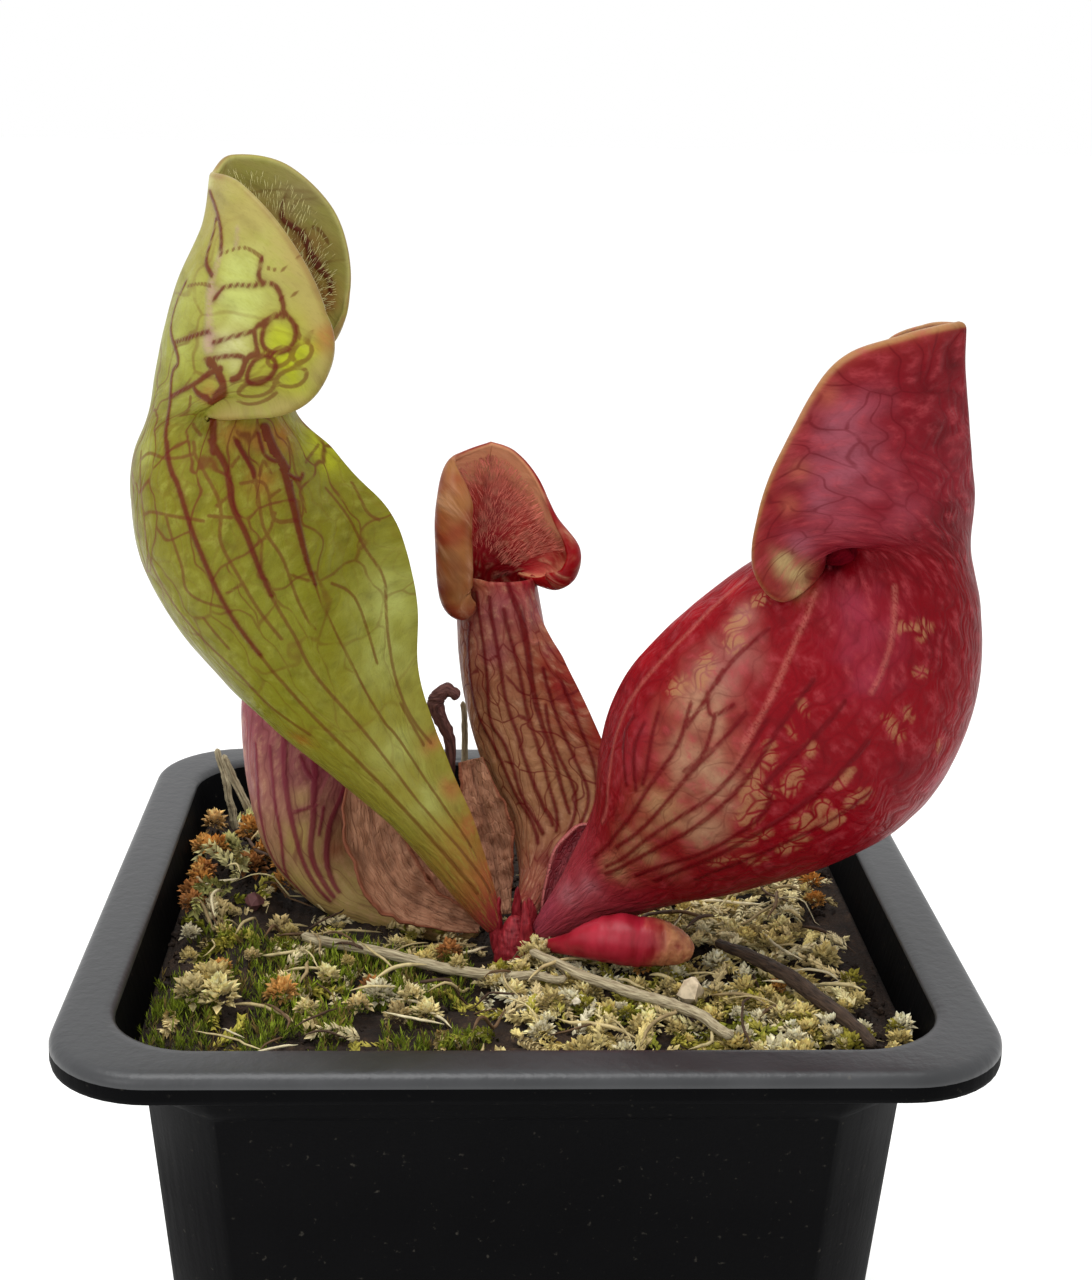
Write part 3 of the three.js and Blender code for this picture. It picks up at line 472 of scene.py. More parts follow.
def make_peat():
    """The peat as one plug: rings from the middle of its crumbly top outwards, then down the pot."""
    edge = pot_ring(76.6, 8.5, 0, 0.05, 24)
    count = len(edge)
    shares = np.concatenate([[0.004], np.linspace(0.02, 1, 96)])
    surface = []
    for share in shares:
        x, y = edge[:, 0] * share, edge[:, 1] * share
        crumb = 0.8 * value_noise(x, y, 0, 0.9, 3) + 0.5 * value_noise(x, y, 0, 0.45, 5) - 0.7
        surface.append(np.stack([x, y, RIM_TOP + ground(x, y) + crumb], 1))
    low = [pot_ring(75.6, 8.3, 73.2, 0.12, 24), pot_ring(71.2, 7, 70.4, 0.75, 24)]
    low += [pot_ring(body_width(z) - 3, 6.6, z, 0.75, 24) for z in (40, 2.0)]
    points = np.concatenate(surface + low + [[[0, 0, 2.0]]])
    rows = len(shares) + len(low)
    k = np.arange(count)
    last = (rows - 1) * count
    bottom = np.stack([last + k, last + (k + 1) % count, np.full(count, len(points) - 1)], 1)
    return points, [ring_faces(rows, count)[:, ::-1], bottom[:, ::-1], k[None]]


peat_finish, shader, start = new_finish("peat", Specular_IOR_Level=0.3)
coarse = start.place().noise(420.0, 5.0)
fine = start.place().noise(2400.0, 4.0)
browns = (0.3, tint(20, 14, 11)), (0.55, tint(44, 32, 24)), (0.8, tint(92, 70, 50))
feed(
    shader,
    Base_Color=(coarse * 0.6 + fine * 0.4).ramp(*browns),
    Roughness=0.75 + fine * 0.25,
    Normal=fine.bump(0.0003),
)
shape("peat_bed", *make_peat(), peat_finish, "growing_medium", "peat")


def lump_field(centres, sizes, seed):
    """Small rough lumps, each a dented octahedron split once."""
    base = np.array([[1, 0, 0], [-1, 0, 0], [0, 1, 0], [0, -1, 0], [0, 0, 1], [0, 0, -1]], float)
    tris = [(4, 0, 2), (4, 2, 1), (4, 1, 3), (4, 3, 0), (5, 2, 0), (5, 1, 2), (5, 3, 1), (5, 0, 3)]
    points, faces, middles = list(base), [], {}
    for tri in tris:
        mids = []
        for a, b in zip(tri, tri[1:] + tri[:1]):
            key = (min(a, b), max(a, b))
            if key not in middles:
                middles[key] = len(points)
                half = points[a] + points[b]
                points.append(half / np.linalg.norm(half))
            mids.append(middles[key])
        faces += [(tri[k], mids[k], mids[k - 1]) for k in range(3)] + [tuple(mids)]
    points, faces = np.array(points), np.array(faces)
    random = np.random.default_rng(seed)
    bodies = points[None] * (0.65 + 0.5 * random.random((len(centres), len(points), 1)))
    bodies = bodies * random.uniform(0.6, 1.2, (len(centres), 1, 3)) * np.asarray(sizes)[:, None, None]
    spin = random.uniform(0, 2 * math.pi, len(centres))
    c, s = np.cos(spin)[:, None], np.sin(spin)[:, None]
    x, y = bodies[..., 0] * c - bodies[..., 1] * s, bodies[..., 0] * s + bodies[..., 1] * c
    bodies = np.stack([x, y, bodies[..., 2]], -1) + np.asarray(centres)[:, None]
    shift = (np.arange(len(centres)) * len(points))[:, None, None]
    return bodies.reshape(-1, 3), [(faces[None] + shift).reshape(-1, 3)]


random = np.random.default_rng(4)
spots = random.uniform(-BED_REACH, BED_REACH, (5200, 2))
past_straight = np.maximum(np.abs(spots) - 30, 0)
spots = spots[np.hypot(*past_straight.T) < 8.2]
sizes = 0.16 + 0.5 * random.random(len(spots)) ** 3
heights = RIM_TOP + ground(spots[:, 0], spots[:, 1]) + 0.25 * sizes
crumbs = lump_field(np.c_[spots, heights], sizes, 6)
shape("peat_crumbs", *crumbs, peat_finish, None, "peat", smooth=False)


# Green pitcher. A hollow leaf that leans out to the left, grown as one waxy sheet: a curved tube
# with a thin wing down its front and a hood that folds its two lobes over the mouth.
LEAF_THICKNESS = 0.6
COLUMNS = 280
WIDE = COLUMNS + 1
NOTCH_UNITS = 20
WING_TURN, WING_EDGE = 0.9, 0.08

# Each leaf is written in its own plane, x away from the crown and z up from the pot's rim. A
# station is a point of the tube's back, one of its front, half its width and the wing's reach. The
# notch, in twentieths of a turn from the front, is where the hood begins; ridge is its crest, left
# and right its edges from the tip down. Swell and lift bulge its lobes. Curl rolls its edge in:
# share of the edge, degrees, radius. A dent is a rise, a turn, a radius and a depth.
GREEN = {
    "foot": (-1.7, -6.3),
    "azimuth": 178,
    "stations": [
        (1.8, 0, -3.2, 0.6, 0, -2.0, 0.9, 0.3),
        (5.1, 0, 0.4, 2.6, 0, 3.7, 2.1, 1.4),
        (11.2, 0, 8.2, 7.9, 0, 11.6, 3.3, 3.2),
        (18.6, 0, 15.0, 13.0, 0, 21.2, 4.9, 5.3),
        (26.8, 0, 22.4, 16.2, 0, 29.1, 7.1, 7.5),
        (33.9, 0, 30.9, 17.9, 0, 35.7, 9.1, 7.5),
        (37.6, 0, 38.4, 18.4, 0, 42.0, 10.0, 5.7),
        (38.3, 0, 44.2, 19.8, 0, 46.3, 9.7, 3.7),
        (37.8, 0, 49.0, 21.5, 0, 50.7, 8.3, 1.8),
        (36.3, 0, 52.5, 22.6, 0, 54.1, 7.1, 0.6),
    ],
    "notch": 5,
    "ridge": [(35.1, 0, 58.4), (33.3, 0, 65.3), (30.5, 0, 71.2), (29.7, 0, 75.8)],
    "left": [
        (29.7, 0, 75.8), (26.6, 4.4, 75.2), (22.5, 7.9, 71.6), (19.0, 10.2, 66.3),
        (17.7, 11.3, 61.0), (19.7, 11.2, 56.7), (23.6, 10.0, 54.7), (28.9, 7.3, 54.5),
    ],
    "right": [
        (29.7, 0, 75.8), (28.2, -3.4, 77.4), (23.4, -6.3, 76.5), (19.1, -8.9, 72.0),
        (17.7, -10.4, 65.7), (19.3, -10.2, 59.4), (24.2, -9.1, 55.5), (28.9, -7.3, 53.9),
    ],
    "swell": 2.6,
    "lift": 2.2,
    "curl": {"left": ((0, 0, 0.6), (0.45, 0, 0.6), (0.62, 150, 0.7), (0.9, 170, 0.8), (1, 20, 0.6)),
             "right": ((0, 10, 0.6), (0.6, 10, 0.6), (0.7, 120, 0.7), (0.9, 140, 0.8), (1, 20, 0.6))},
    "dents": ((1.02, 0.262, 1.5, 0.7),),
}


def along(rows, t):
    """A smooth curve through rows of numbers, at shares t of its length."""
    rows = np.asarray(rows, float)
    span = np.clip(np.atleast_1d(t), 0, 1) * (len(rows) - 1)
    i = np.minimum(span.astype(int), len(rows) - 2)
    before, here, after, beyond = (rows[np.clip(i + k, 0, len(rows) - 1)] for k in (-1, 0, 1, 2))
    share = (span - i)[:, None]
    start, end = (after - before) / 2, (beyond - here) / 2
    cube = (2 * here - 2 * after + start + end) * share ** 3
    return cube + (-3 * here + 3 * after - 2 * start - end) * share ** 2 + start * share + here


def unit(vectors):
    """The same directions with a length of one."""
    vectors = np.asarray(vectors, float)
    return vectors / np.maximum(np.linalg.norm(vectors, axis=-1, keepdims=True), 1e-9)


def wing_curve(deep, half, wing, share):
    """A wing's side from its edge, at share 0, to its root: how far inward and how far across."""
    root = -deep * math.cos(WING_TURN), half * math.sin(WING_TURN)
    heading = np.hypot(deep * math.sin(WING_TURN), half * math.cos(WING_TURN))
    edge = -deep - wing, WING_EDGE
    reach = np.hypot(root[0] - edge[0], root[1] - edge[1])
    blade = np.minimum(0.9 * wing, 0.5 * reach)
    bend = (
        root[0] - reach / 2 * deep * math.sin(WING_TURN) / heading,
        root[1] - reach / 2 * half * math.cos(WING_TURN) / heading,
    )
    rest = 1 - share
    return [
        rest ** 3 * a + 3 * share * rest ** 2 * b + 3 * share ** 2 * rest * c + share ** 3 * d
        for a, b, c, d in ((edge[0], edge[0] + blade, bend[0], root[0]), (edge[1], edge[1], bend[1], root[1]))
    ]


def tube_sheet(stations, t, turns, winged):
    """Rows of points up a leaf's tube. turn 0 is its front, where the wing stands, and 0.5 its back."""
    def spine(at):
        return along(stations, at)[:, :3] / 2 + along(stations, at)[:, 3:6] / 2

    row = along(stations, t)
    forward = unit(spine(np.minimum(t + 0.04, 1)) - spine(np.maximum(t - 0.04, 0)))
    gap = row[:, :3] - row[:, 3:6]
    depth = unit(gap)
    side = unit(np.cross(forward, depth))
    deep, half, wing = np.linalg.norm(gap, axis=1)[:, None] / 2, row[:, 6:7], row[:, 7:8]
    angle = 2 * math.pi * ((turns + 0.5) % 1 - 0.5)[None]
    inward, across = -deep * np.cos(angle), half * np.sin(angle)
    if winged:
        curve = wing_curve(deep, half, wing, np.clip(np.abs(angle) / WING_TURN, 0, 1))
        share = np.where(np.abs(angle) < WING_TURN, soft(0.3, 2.5, wing), 0)
        inward = inward * (1 - share) + curve[0] * share
        across = across * (1 - share) + np.sign(angle) * curve[1] * share
    centre = (row[:, :3] + row[:, 3:6]) / 2
    return centre[:, None] + depth[:, None] * inward[..., None] + side[:, None] * across[..., None]


def off_back(leaf, turns):
    """How far round from the back of the mouth, 0, to its notches, 1."""
    return np.abs(turns - 0.5) / (0.5 - leaf["notch"] / NOTCH_UNITS)


def notch_column(leaf):
    """The column of points where the hood begins."""
    return round(COLUMNS * leaf["notch"] / NOTCH_UNITS)


def hood_sheet(leaf, lip, turns, ups):
    """Rows of points up the hood, whose columns rise from the back of the lip to the hood's edge."""
    share = off_back(leaf, turns)
    on_left = (turns <= 0.5)[:, None]
    edge = np.where(on_left, along(leaf["left"], share), along(leaf["right"], share))
    edge = edge + (lip - edge) * soft(0.88, 1, share)[:, None]
    start, tip = lip[len(turns) // 2], np.array(leaf["left"][0], float)
    up = ups[:, None, None]
    spine = along([start, *leaf["ridge"]], ups)[:, None] - (start + (tip - start) * up)
    points = lip + (edge - lip) * up + spine * ((1 - share) ** 1.4)[None, :, None]
    arch = np.sin(math.pi * ups)[:, None]
    points[..., 1] += leaf["swell"] * arch * (np.sin(math.pi * share) * np.sign(0.5 - turns))[None]
    points[..., 2] += leaf["lift"] * arch * (soft(0.4, 0.75, share) * (1 - soft(0.86, 1, share)))[None]
    return points


CURL_ROWS = 14


def curled(leaf, sheet, turns):
    """Rows that carry the hood's margin on and roll it inwards; each side gives share, degrees, radius."""
    share = off_back(leaf, turns)
    sides = [np.array(leaf["curl"][side]).T for side in ("left", "right")]
    degrees, radius = (
        np.where(turns <= 0.5, *(np.interp(share, side[0], side[k]) for side in sides)) for k in (1, 2)
    )
    out = unit(sheet[-1] - sheet[-4])
    normal = unit(np.cross(out, np.gradient(sheet[-1], axis=0)))
    step = np.maximum(np.radians(degrees) * radius, 0.35)[:, None] / CURL_ROWS
    rows, place = [], sheet[-1]
    for k in range(1, CURL_ROWS + 1):
        angle = np.radians(degrees * (k - 0.5) / CURL_ROWS)[:, None]
        place = place + step * (np.cos(angle) * out - np.sin(angle) * normal)
        rows.append(place)
    return np.array(rows)


def skin_faces(tube_rows, hood_rows, first):
    """Faces over the rows of a tube and its hood, and the path of points along their open edge;
    first is the column where the hood begins."""
    tube = np.arange(tube_rows * WIDE).reshape(tube_rows, WIDE)
    hood = np.arange(hood_rows * (COLUMNS - 2 * first - 1)).reshape(hood_rows, -1) + tube.size
    hood = np.concatenate([tube[-1:, first + 1:COLUMNS - first], hood])
    quads = [
        np.stack([grid[:-1, :-1], grid[1:, :-1], grid[1:, 1:], grid[:-1, 1:]], -1).reshape(-1, 4)
        for grid in (tube, hood)
    ]
    left, right = np.full(hood_rows, tube[-1, first]), np.full(hood_rows, tube[-1, COLUMNS - first])
    left_ends = np.stack([left, hood[1:, 0], hood[:-1, 0]], 1)
    right_ends = np.stack([hood[:-1, -1], hood[1:, -1], right], 1)
    path = np.concatenate([tube[-1, :first + 1], hood[-1], tube[-1, COLUMNS - first:]])
    return np.concatenate(quads), np.concatenate([left_ends, right_ends]), path


def point_normals(points, faces):
    """The direction that each point of a surface faces."""
    total = np.zeros_like(points)
    for group in faces:
        corner = [points[group[:, k]] for k in range(group.shape[1])]
        other = corner[-1] - corner[1] if len(corner) > 3 else corner[2] - corner[1]
        normal = np.cross(corner[2] - corner[0], other)
        for k in range(group.shape[1]):
            np.add.at(total, group[:, k], normal)
    return unit(total)


def on_skin(grid, leaf, rise, turn):
    """Points of a leaf's sheet at shares of its length, 1 to 2 on the hood, and turns round it."""
    rise, turn = np.atleast_1d(np.asarray(rise, float)), np.atleast_1d(np.asarray(turn, float))
    first = notch_column(leaf)

    def read(sheet, row, column):
        row = np.clip(row, 0, len(sheet) - 1.001)
        column = np.clip(column, 0, sheet.shape[1] - 1.001)
        i, j = row.astype(int), column.astype(int)
        a, b = (row - i)[:, None], (column - j)[:, None]
        low = sheet[i, j] * (1 - b) + sheet[i, j + 1] * b
        return low * (1 - a) + (sheet[i + 1, j] * (1 - b) + sheet[i + 1, j + 1] * b) * a

    on_tube = read(grid["tube"], rise * (len(grid["tube"]) - 1), turn * COLUMNS)
    on_hood = read(grid["hood"], (rise - 1) * (len(grid["hood"]) - 1 - CURL_ROWS), turn * COLUMNS - first - 1)
    return np.where((rise <= 1)[:, None], on_tube, on_hood)


def eased(both, tube_rows, share):
    """Rows of tube and hood with the crease between them smoothed away, but not at the notches."""
    near = np.exp(-((np.arange(len(both)) - tube_rows + 1) / 12.0) ** 2)
    near = near[:, None, None] * soft(0, 0.16, share)[None, :, None]
    for _ in range(160):
        both[1:-1] += 0.5 * near[1:-1] * (both[:-2] / 2 + both[2:] / 2 - both[1:-1])
    return both


def rippled(points, faces, tube_rows, ripple):
    """A sheet's points moved in and out a little, with the direction that each one faces."""
    normals = point_normals(points, faces)
    seam = np.arange(tube_rows) * WIDE
    normals[seam] = normals[seam + COLUMNS] = unit(normals[seam] + normals[seam + COLUMNS])
    x, y, z = points.T
    wave = value_noise(x, y, z, 5.2, 3) + 0.5 * value_noise(x, y, z, 2.4, 5) - 0.75
    return points + normals * (ripple * wave)[:, None], normals


def as_grid(points, tube_rows, mouth):
    """A sheet's points in rows: those of the tube, and those of the hood from the mouth up."""
    tube = points[:tube_rows * WIDE].reshape(tube_rows, WIDE, 3)
    hood = points[tube_rows * WIDE:].reshape(-1, mouth.stop - mouth.start, 3)
    return {"tube": tube, "hood": np.concatenate([tube[-1:, mouth], hood])}


def climbed(grid, mouth):
    """Millimetres up the leaf to each point of a sheet."""
    steps = {part: np.linalg.norm(np.diff(rows, axis=0), axis=2) for part, rows in grid.items()}
    lower = np.concatenate([np.zeros((1, WIDE)), np.cumsum(steps["tube"], axis=0)])
    upper = lower[-1:, mouth] + np.cumsum(steps["hood"], axis=0)
    return np.concatenate([lower.ravel(), upper.ravel()])


def closed_skin(outer, lining, tube_rows, hood_rows, hollow_from, first):
    """Outside, lining and a rounded rim as one skin, closed at the foot and the hollow's bottom:
    points, faces, the sheet's point that each stands for and whether it is inside."""
    quads, ends, path = skin_faces(tube_rows, hood_rows, first)
    inner_quads, inner_ends, inner_path = skin_faces(tube_rows - hollow_from, hood_rows, first)
    kept = np.arange(hollow_from * WIDE, len(lining))
    both = np.concatenate([outer, lining[kept]])
    shift, start, count = len(outer), len(both), len(path)
    inner_path = inner_path + shift
    half = (both[path] - both[inner_path]) / 2
    middle = (both[path] + both[inner_path]) / 2
    row_below = np.full(count, WIDE)
    row_below[first + 1:-first - 1] = COLUMNS - 2 * first - 1
    out = unit(outer[path] - outer[path - row_below])
    out[1:-1] = unit(out[:-2] + 2 * out[1:-1] + out[2:])
    rim = [middle + half * math.cos(a) + out * LEAF_THICKNESS * 0.6 * math.sin(a) for a in (0.7, 1.57, 2.44)]
    rows = [path] + [start + k * count + np.arange(count) for k in range(3)] + [inner_path]
    strip = [np.stack([low[1:], low[:-1], high[:-1], high[1:]], 1) for low, high in zip(rows, rows[1:])]
    bottoms = [outer[:COLUMNS].mean(0)[None], both[shift:shift + COLUMNS].mean(0)[None]]
    points = np.concatenate([both, *rim, *bottoms])
    k = np.arange(COLUMNS)
    foot = np.stack([k, k + 1, np.full(COLUMNS, len(points) - 2)], 1)
    well = np.stack([shift + k + 1, shift + k, np.full(COLUMNS, len(points) - 1)], 1)
    faces = [
        np.concatenate([quads, (inner_quads + shift)[:, ::-1], *strip]),
        np.concatenate([ends, (inner_ends + shift)[:, ::-1], foot, well]),
    ]
    which = np.concatenate([np.arange(shift), kept, path, path, path, [0, hollow_from * WIDE]])
    inside = np.zeros(len(points))
    inside[shift:start] = 1
    inside[start + 2 * count:start + 3 * count] = 1
    return points, faces, which, inside


def pitcher(leaf, tube_rows, hood_rows, hollow_from, ripple):
    """A pitcher's skin in the leaf's own plane, with what its colours and marks are worked out
    from; its tube is solid up to the row hollow_from."""
    turns = np.linspace(0, 1, WIDE)
    first = notch_column(leaf)
    mouth = slice(first + 1, COLUMNS - first)
    t = np.linspace(0, 1, tube_rows)
    ups = np.linspace(0, 1, hood_rows + 1)[1:]
    share = 1 - off_back(leaf, turns[mouth])
    hood_rows = hood_rows + CURL_ROWS
    quads, ends, _ = skin_faces(tube_rows, hood_rows, first)
    sheets = []
    for winged in (True, False):
        tube = tube_sheet(leaf["stations"], t, turns, winged)
        hood = hood_sheet(leaf, tube[-1, mouth], turns[mouth], ups)
        both = eased(np.concatenate([tube[:, mouth], hood]), tube_rows, share)
        tube[:, mouth] = both[:tube_rows]
        both = np.concatenate([both, curled(leaf, both, turns[mouth])])
        points = np.concatenate([tube.reshape(-1, 3), both[tube_rows:].reshape(-1, 3)])
        sheets.append(rippled(points, [quads, ends], tube_rows, ripple))
    grid = as_grid(sheets[0][0], tube_rows, mouth)
    for rise_at, turn_at, radius, depth in leaf["dents"]:
        centre = on_skin(grid, leaf, rise_at, turn_at)
        for place, normals in sheets:
            far = np.linalg.norm(place - centre, axis=1) / radius
            place -= normals * (depth * np.exp(-far ** 2))[:, None]
    (outside, outside_normals), (lining, lining_normals) = sheets
    ups = np.concatenate([ups, 1 + 0.02 * np.arange(1, CURL_ROWS + 1)])
    turn = np.concatenate([np.tile(turns, tube_rows), np.tile(turns[mouth], hood_rows)])
    climb = climbed(as_grid(lining, tube_rows, mouth), mouth)
    outer = outside + outside_normals * LEAF_THICKNESS / 2
    inner = lining - lining_normals * LEAF_THICKNESS / 2
    points, faces, which, inside = closed_skin(outer, inner, tube_rows, hood_rows, hollow_from, first)
    return {
        "points": points,
        "faces": faces,
        "turn": turn[which],
        "climb": climb[which],
        "inside": inside,
        "which": which,
        "grid": grid,
        "sheet": outside,
        "sheet_rise": np.concatenate([np.repeat(t, WIDE), np.repeat(1 + ups, mouth.stop - mouth.start)]),
    }


def planted(points, leaf):
    """Points of a leaf's own plane, stood at its foot and turned to its side of the crown."""
    turn = math.radians(leaf["azimuth"])
    x, y, z = np.asarray(points, float).T
    east = x * math.cos(turn) - y * math.sin(turn) + leaf["foot"][0]
    north = x * math.sin(turn) + y * math.cos(turn) + leaf["foot"][1]
    return np.stack([east, north, z + RIM_TOP], 1)


def ring(rise, turn, tall, wide):
    """A closed oval round one clear cell of a leaf, as (rise, turn) places."""
    angles = [k * math.tau / 10 for k in range(11)]
    return [(rise + tall * math.cos(a), turn + wide * math.sin(a)) for a in angles]


UNMARKED = -1.5


def traced(skin, leaf, lines):
    """Millimetres that each point lies inside the nearest line, less than nothing outside it. The
    hood's points stand further apart than the tube's, so its lines are never quite as thin."""
    samples, widths = [], []
    for first, last, places in lines:
        rows = np.array(places, float)
        path = on_skin(skin["grid"], leaf, rows[:, 0], rows[:, 1])
        share = np.linspace(0, 1, max(int(np.linalg.norm(np.diff(path, axis=0), axis=1).sum() / 0.12), 2))
        dense = along(rows, share)
        samples.append(on_skin(skin["grid"], leaf, dense[:, 0], dense[:, 1]))
        least = np.where(dense[:, 0] > 1.2, 0.3, 0.24)
        widths.append(np.maximum(first + (last - first) * share, least) / 2)
    samples, widths = np.concatenate(samples), np.concatenate(widths)
    tree = KDTree(len(samples))
    for k, place in enumerate(samples):
        tree.insert(place, k)
    tree.balance()
    found = [tree.find(place)[1:] for place in skin["sheet"]]
    field = np.array([widths[k] - distance for k, distance in found])
    return np.maximum(field, UNMARKED)[skin["which"]]


def paint(skin, leaf, outside, lining, zones):
    """Colours over a leaf: bands up its length, then soft zones. Its fourth number is how plainly
    the net of small veins shows there."""
    rise = skin["sheet_rise"]
    x, y, z = skin["sheet"].T
    ragged = value_noise(x, y, z, 1.3, 12) - 0.5
    faces = []
    for bands in (outside, lining):
        places = [band[0] for band in bands]
        values = np.array([(*tint(*band[1])[:3], band[2]) for band in bands])
        faces.append(np.stack([np.interp(rise, places, values[:, k]) for k in range(4)], 1))
    for colour, strength, lined, places in zones:
        for rise_at, turn_at, radius in places:
            centre = on_skin(skin["grid"], leaf, rise_at, turn_at)
            far = np.linalg.norm(skin["sheet"] - centre, axis=1) / radius + 0.8 * ragged
            share = (strength * np.exp(-far * far))[:, None]
            faces[lined][:, :3] = faces[lined][:, :3] * (1 - share) + np.array(tint(*colour)[:3]) * share
    which = skin["which"]
    return np.where(skin["inside"][:, None] > 0.5, faces[1][which], faces[0][which])


def leaf_finish(name, vein, thread, patch, fleck, keel, cells, stretch, **fixed):
    """A waxy leaf: painted tone flecked with paler cells, a net of small veins, the drawn veins and
    raised ribs with a painted highlight along them, all puckered a little."""
    finish, shader, start = new_finish(name, **fixed)
    run = start.mark("run", "Vector")
    cloud = start.node("TexNoise", {}, {"Vector": run, "Scale": 0.3, "Detail": 0.6}, "Color")
    warped = start.node("VectorMath", {"operation": "MULTIPLY_ADD"}, {0: cloud, 1: (3.0, 5.0, 0.0), 2: run})
    drawn = warped.stretched(1.0, stretch, 1.0)
    net = drawn.cells(1 / cells)
    small = drawn.cells(2.7 / cells)
    jitter = run.noise(2.2, 3.0) - 0.5
    mottle = run.noise(0.5, 4.0)
    grain = run.noise(4.5, 3.0)
    plain_net = start.mark("tone", "Alpha")
    colour = start.mark("tone", "Color").shade(mottle.between(0.45, 0.8) * 0.3, thread)
    colour = colour.shade(grain.between(0.5, 0.8) * 0.16, thread)
    speck = net.between(0.02, 0.3) * run.noise(0.9, 4.0).between(0.4, 0.7) * grain.between(0.15, 0.6)
    colour = colour.over(fleck, speck * 0.5)
    colour = colour.over(thread, (1 - small.between(0.02, 0.12)) * plain_net * 0.2)
    colour = colour.over(thread, (1 - net.between(0.008, 0.05)) * plain_net * mottle.between(0.2, 0.5))
    blot = (start.mark("spot") + jitter * 0.9 - (1 - net.between(0.0, 0.12)) * 0.5).between(-0.5, 0.5)
    colour = colour.over(patch, blot * small.between(0.01, 0.16) * grain.between(0.1, 0.5) * 0.6)
    # Painted highlight: the keel lines lay a paler sheen along the raised ribs and ridges.
    rib = (start.mark("keel") + jitter * 0.2).between(-0.4, 0.3)
    colour = colour.over(keel, rib * grain.between(0.2, 0.6) * 0.42)
    main = start.mark("vein") + jitter * 0.14
    fine = start.mark("thread") + jitter * 0.08
    colour = colour.over(vein, main.between(-0.6, 0.1) * 0.34).over(thread, fine.between(-0.15, 0.03) * 0.7)
    colour = colour.over(vein, main.between(-0.22, 0.06) * 0.82)
    puckers = net.between(0.0, 0.4) * 0.7 + small.between(0.0, 0.35) * 0.3
    veins = (rib * 1.5 + main.between(-0.3, 0.2)).bump(0.0001)
    feed(
        shader,
        Base_Color=colour,
        Roughness=mottle * 0.2 + grain * 0.1 + 0.2,
        Normal=puckers.bump(0.00011, (grain * 0.7 + jitter * 0.6).bump(0.00005, veins)),
    )
    return finish


def leaf_marks(skin, leaf, girth, tone, lines):
    """What a leaf's finish reads: millimetres round and up it, its colours and its traced lines."""
    run = np.stack([(skin["turn"] - 0.5) * girth, skin["climb"], np.zeros_like(skin["turn"])], 1)
    marks = {"run": run, "tone": tone}
    for key in ("vein", "thread", "spot", "keel"):
        rows = lines.get(key)
        marks[key] = traced(skin, leaf, rows) if rows else np.full(len(run), UNMARKED)
    return marks


def stand(name, node, leaf, skin, finish, girth, tone, lines):
    """Adds a pitcher to the plant, with what its finish reads."""
    marks = leaf_marks(skin, leaf, girth, tone, lines)
    shape(name, planted(skin["points"], leaf), skin["faces"], finish, node, name, marks)


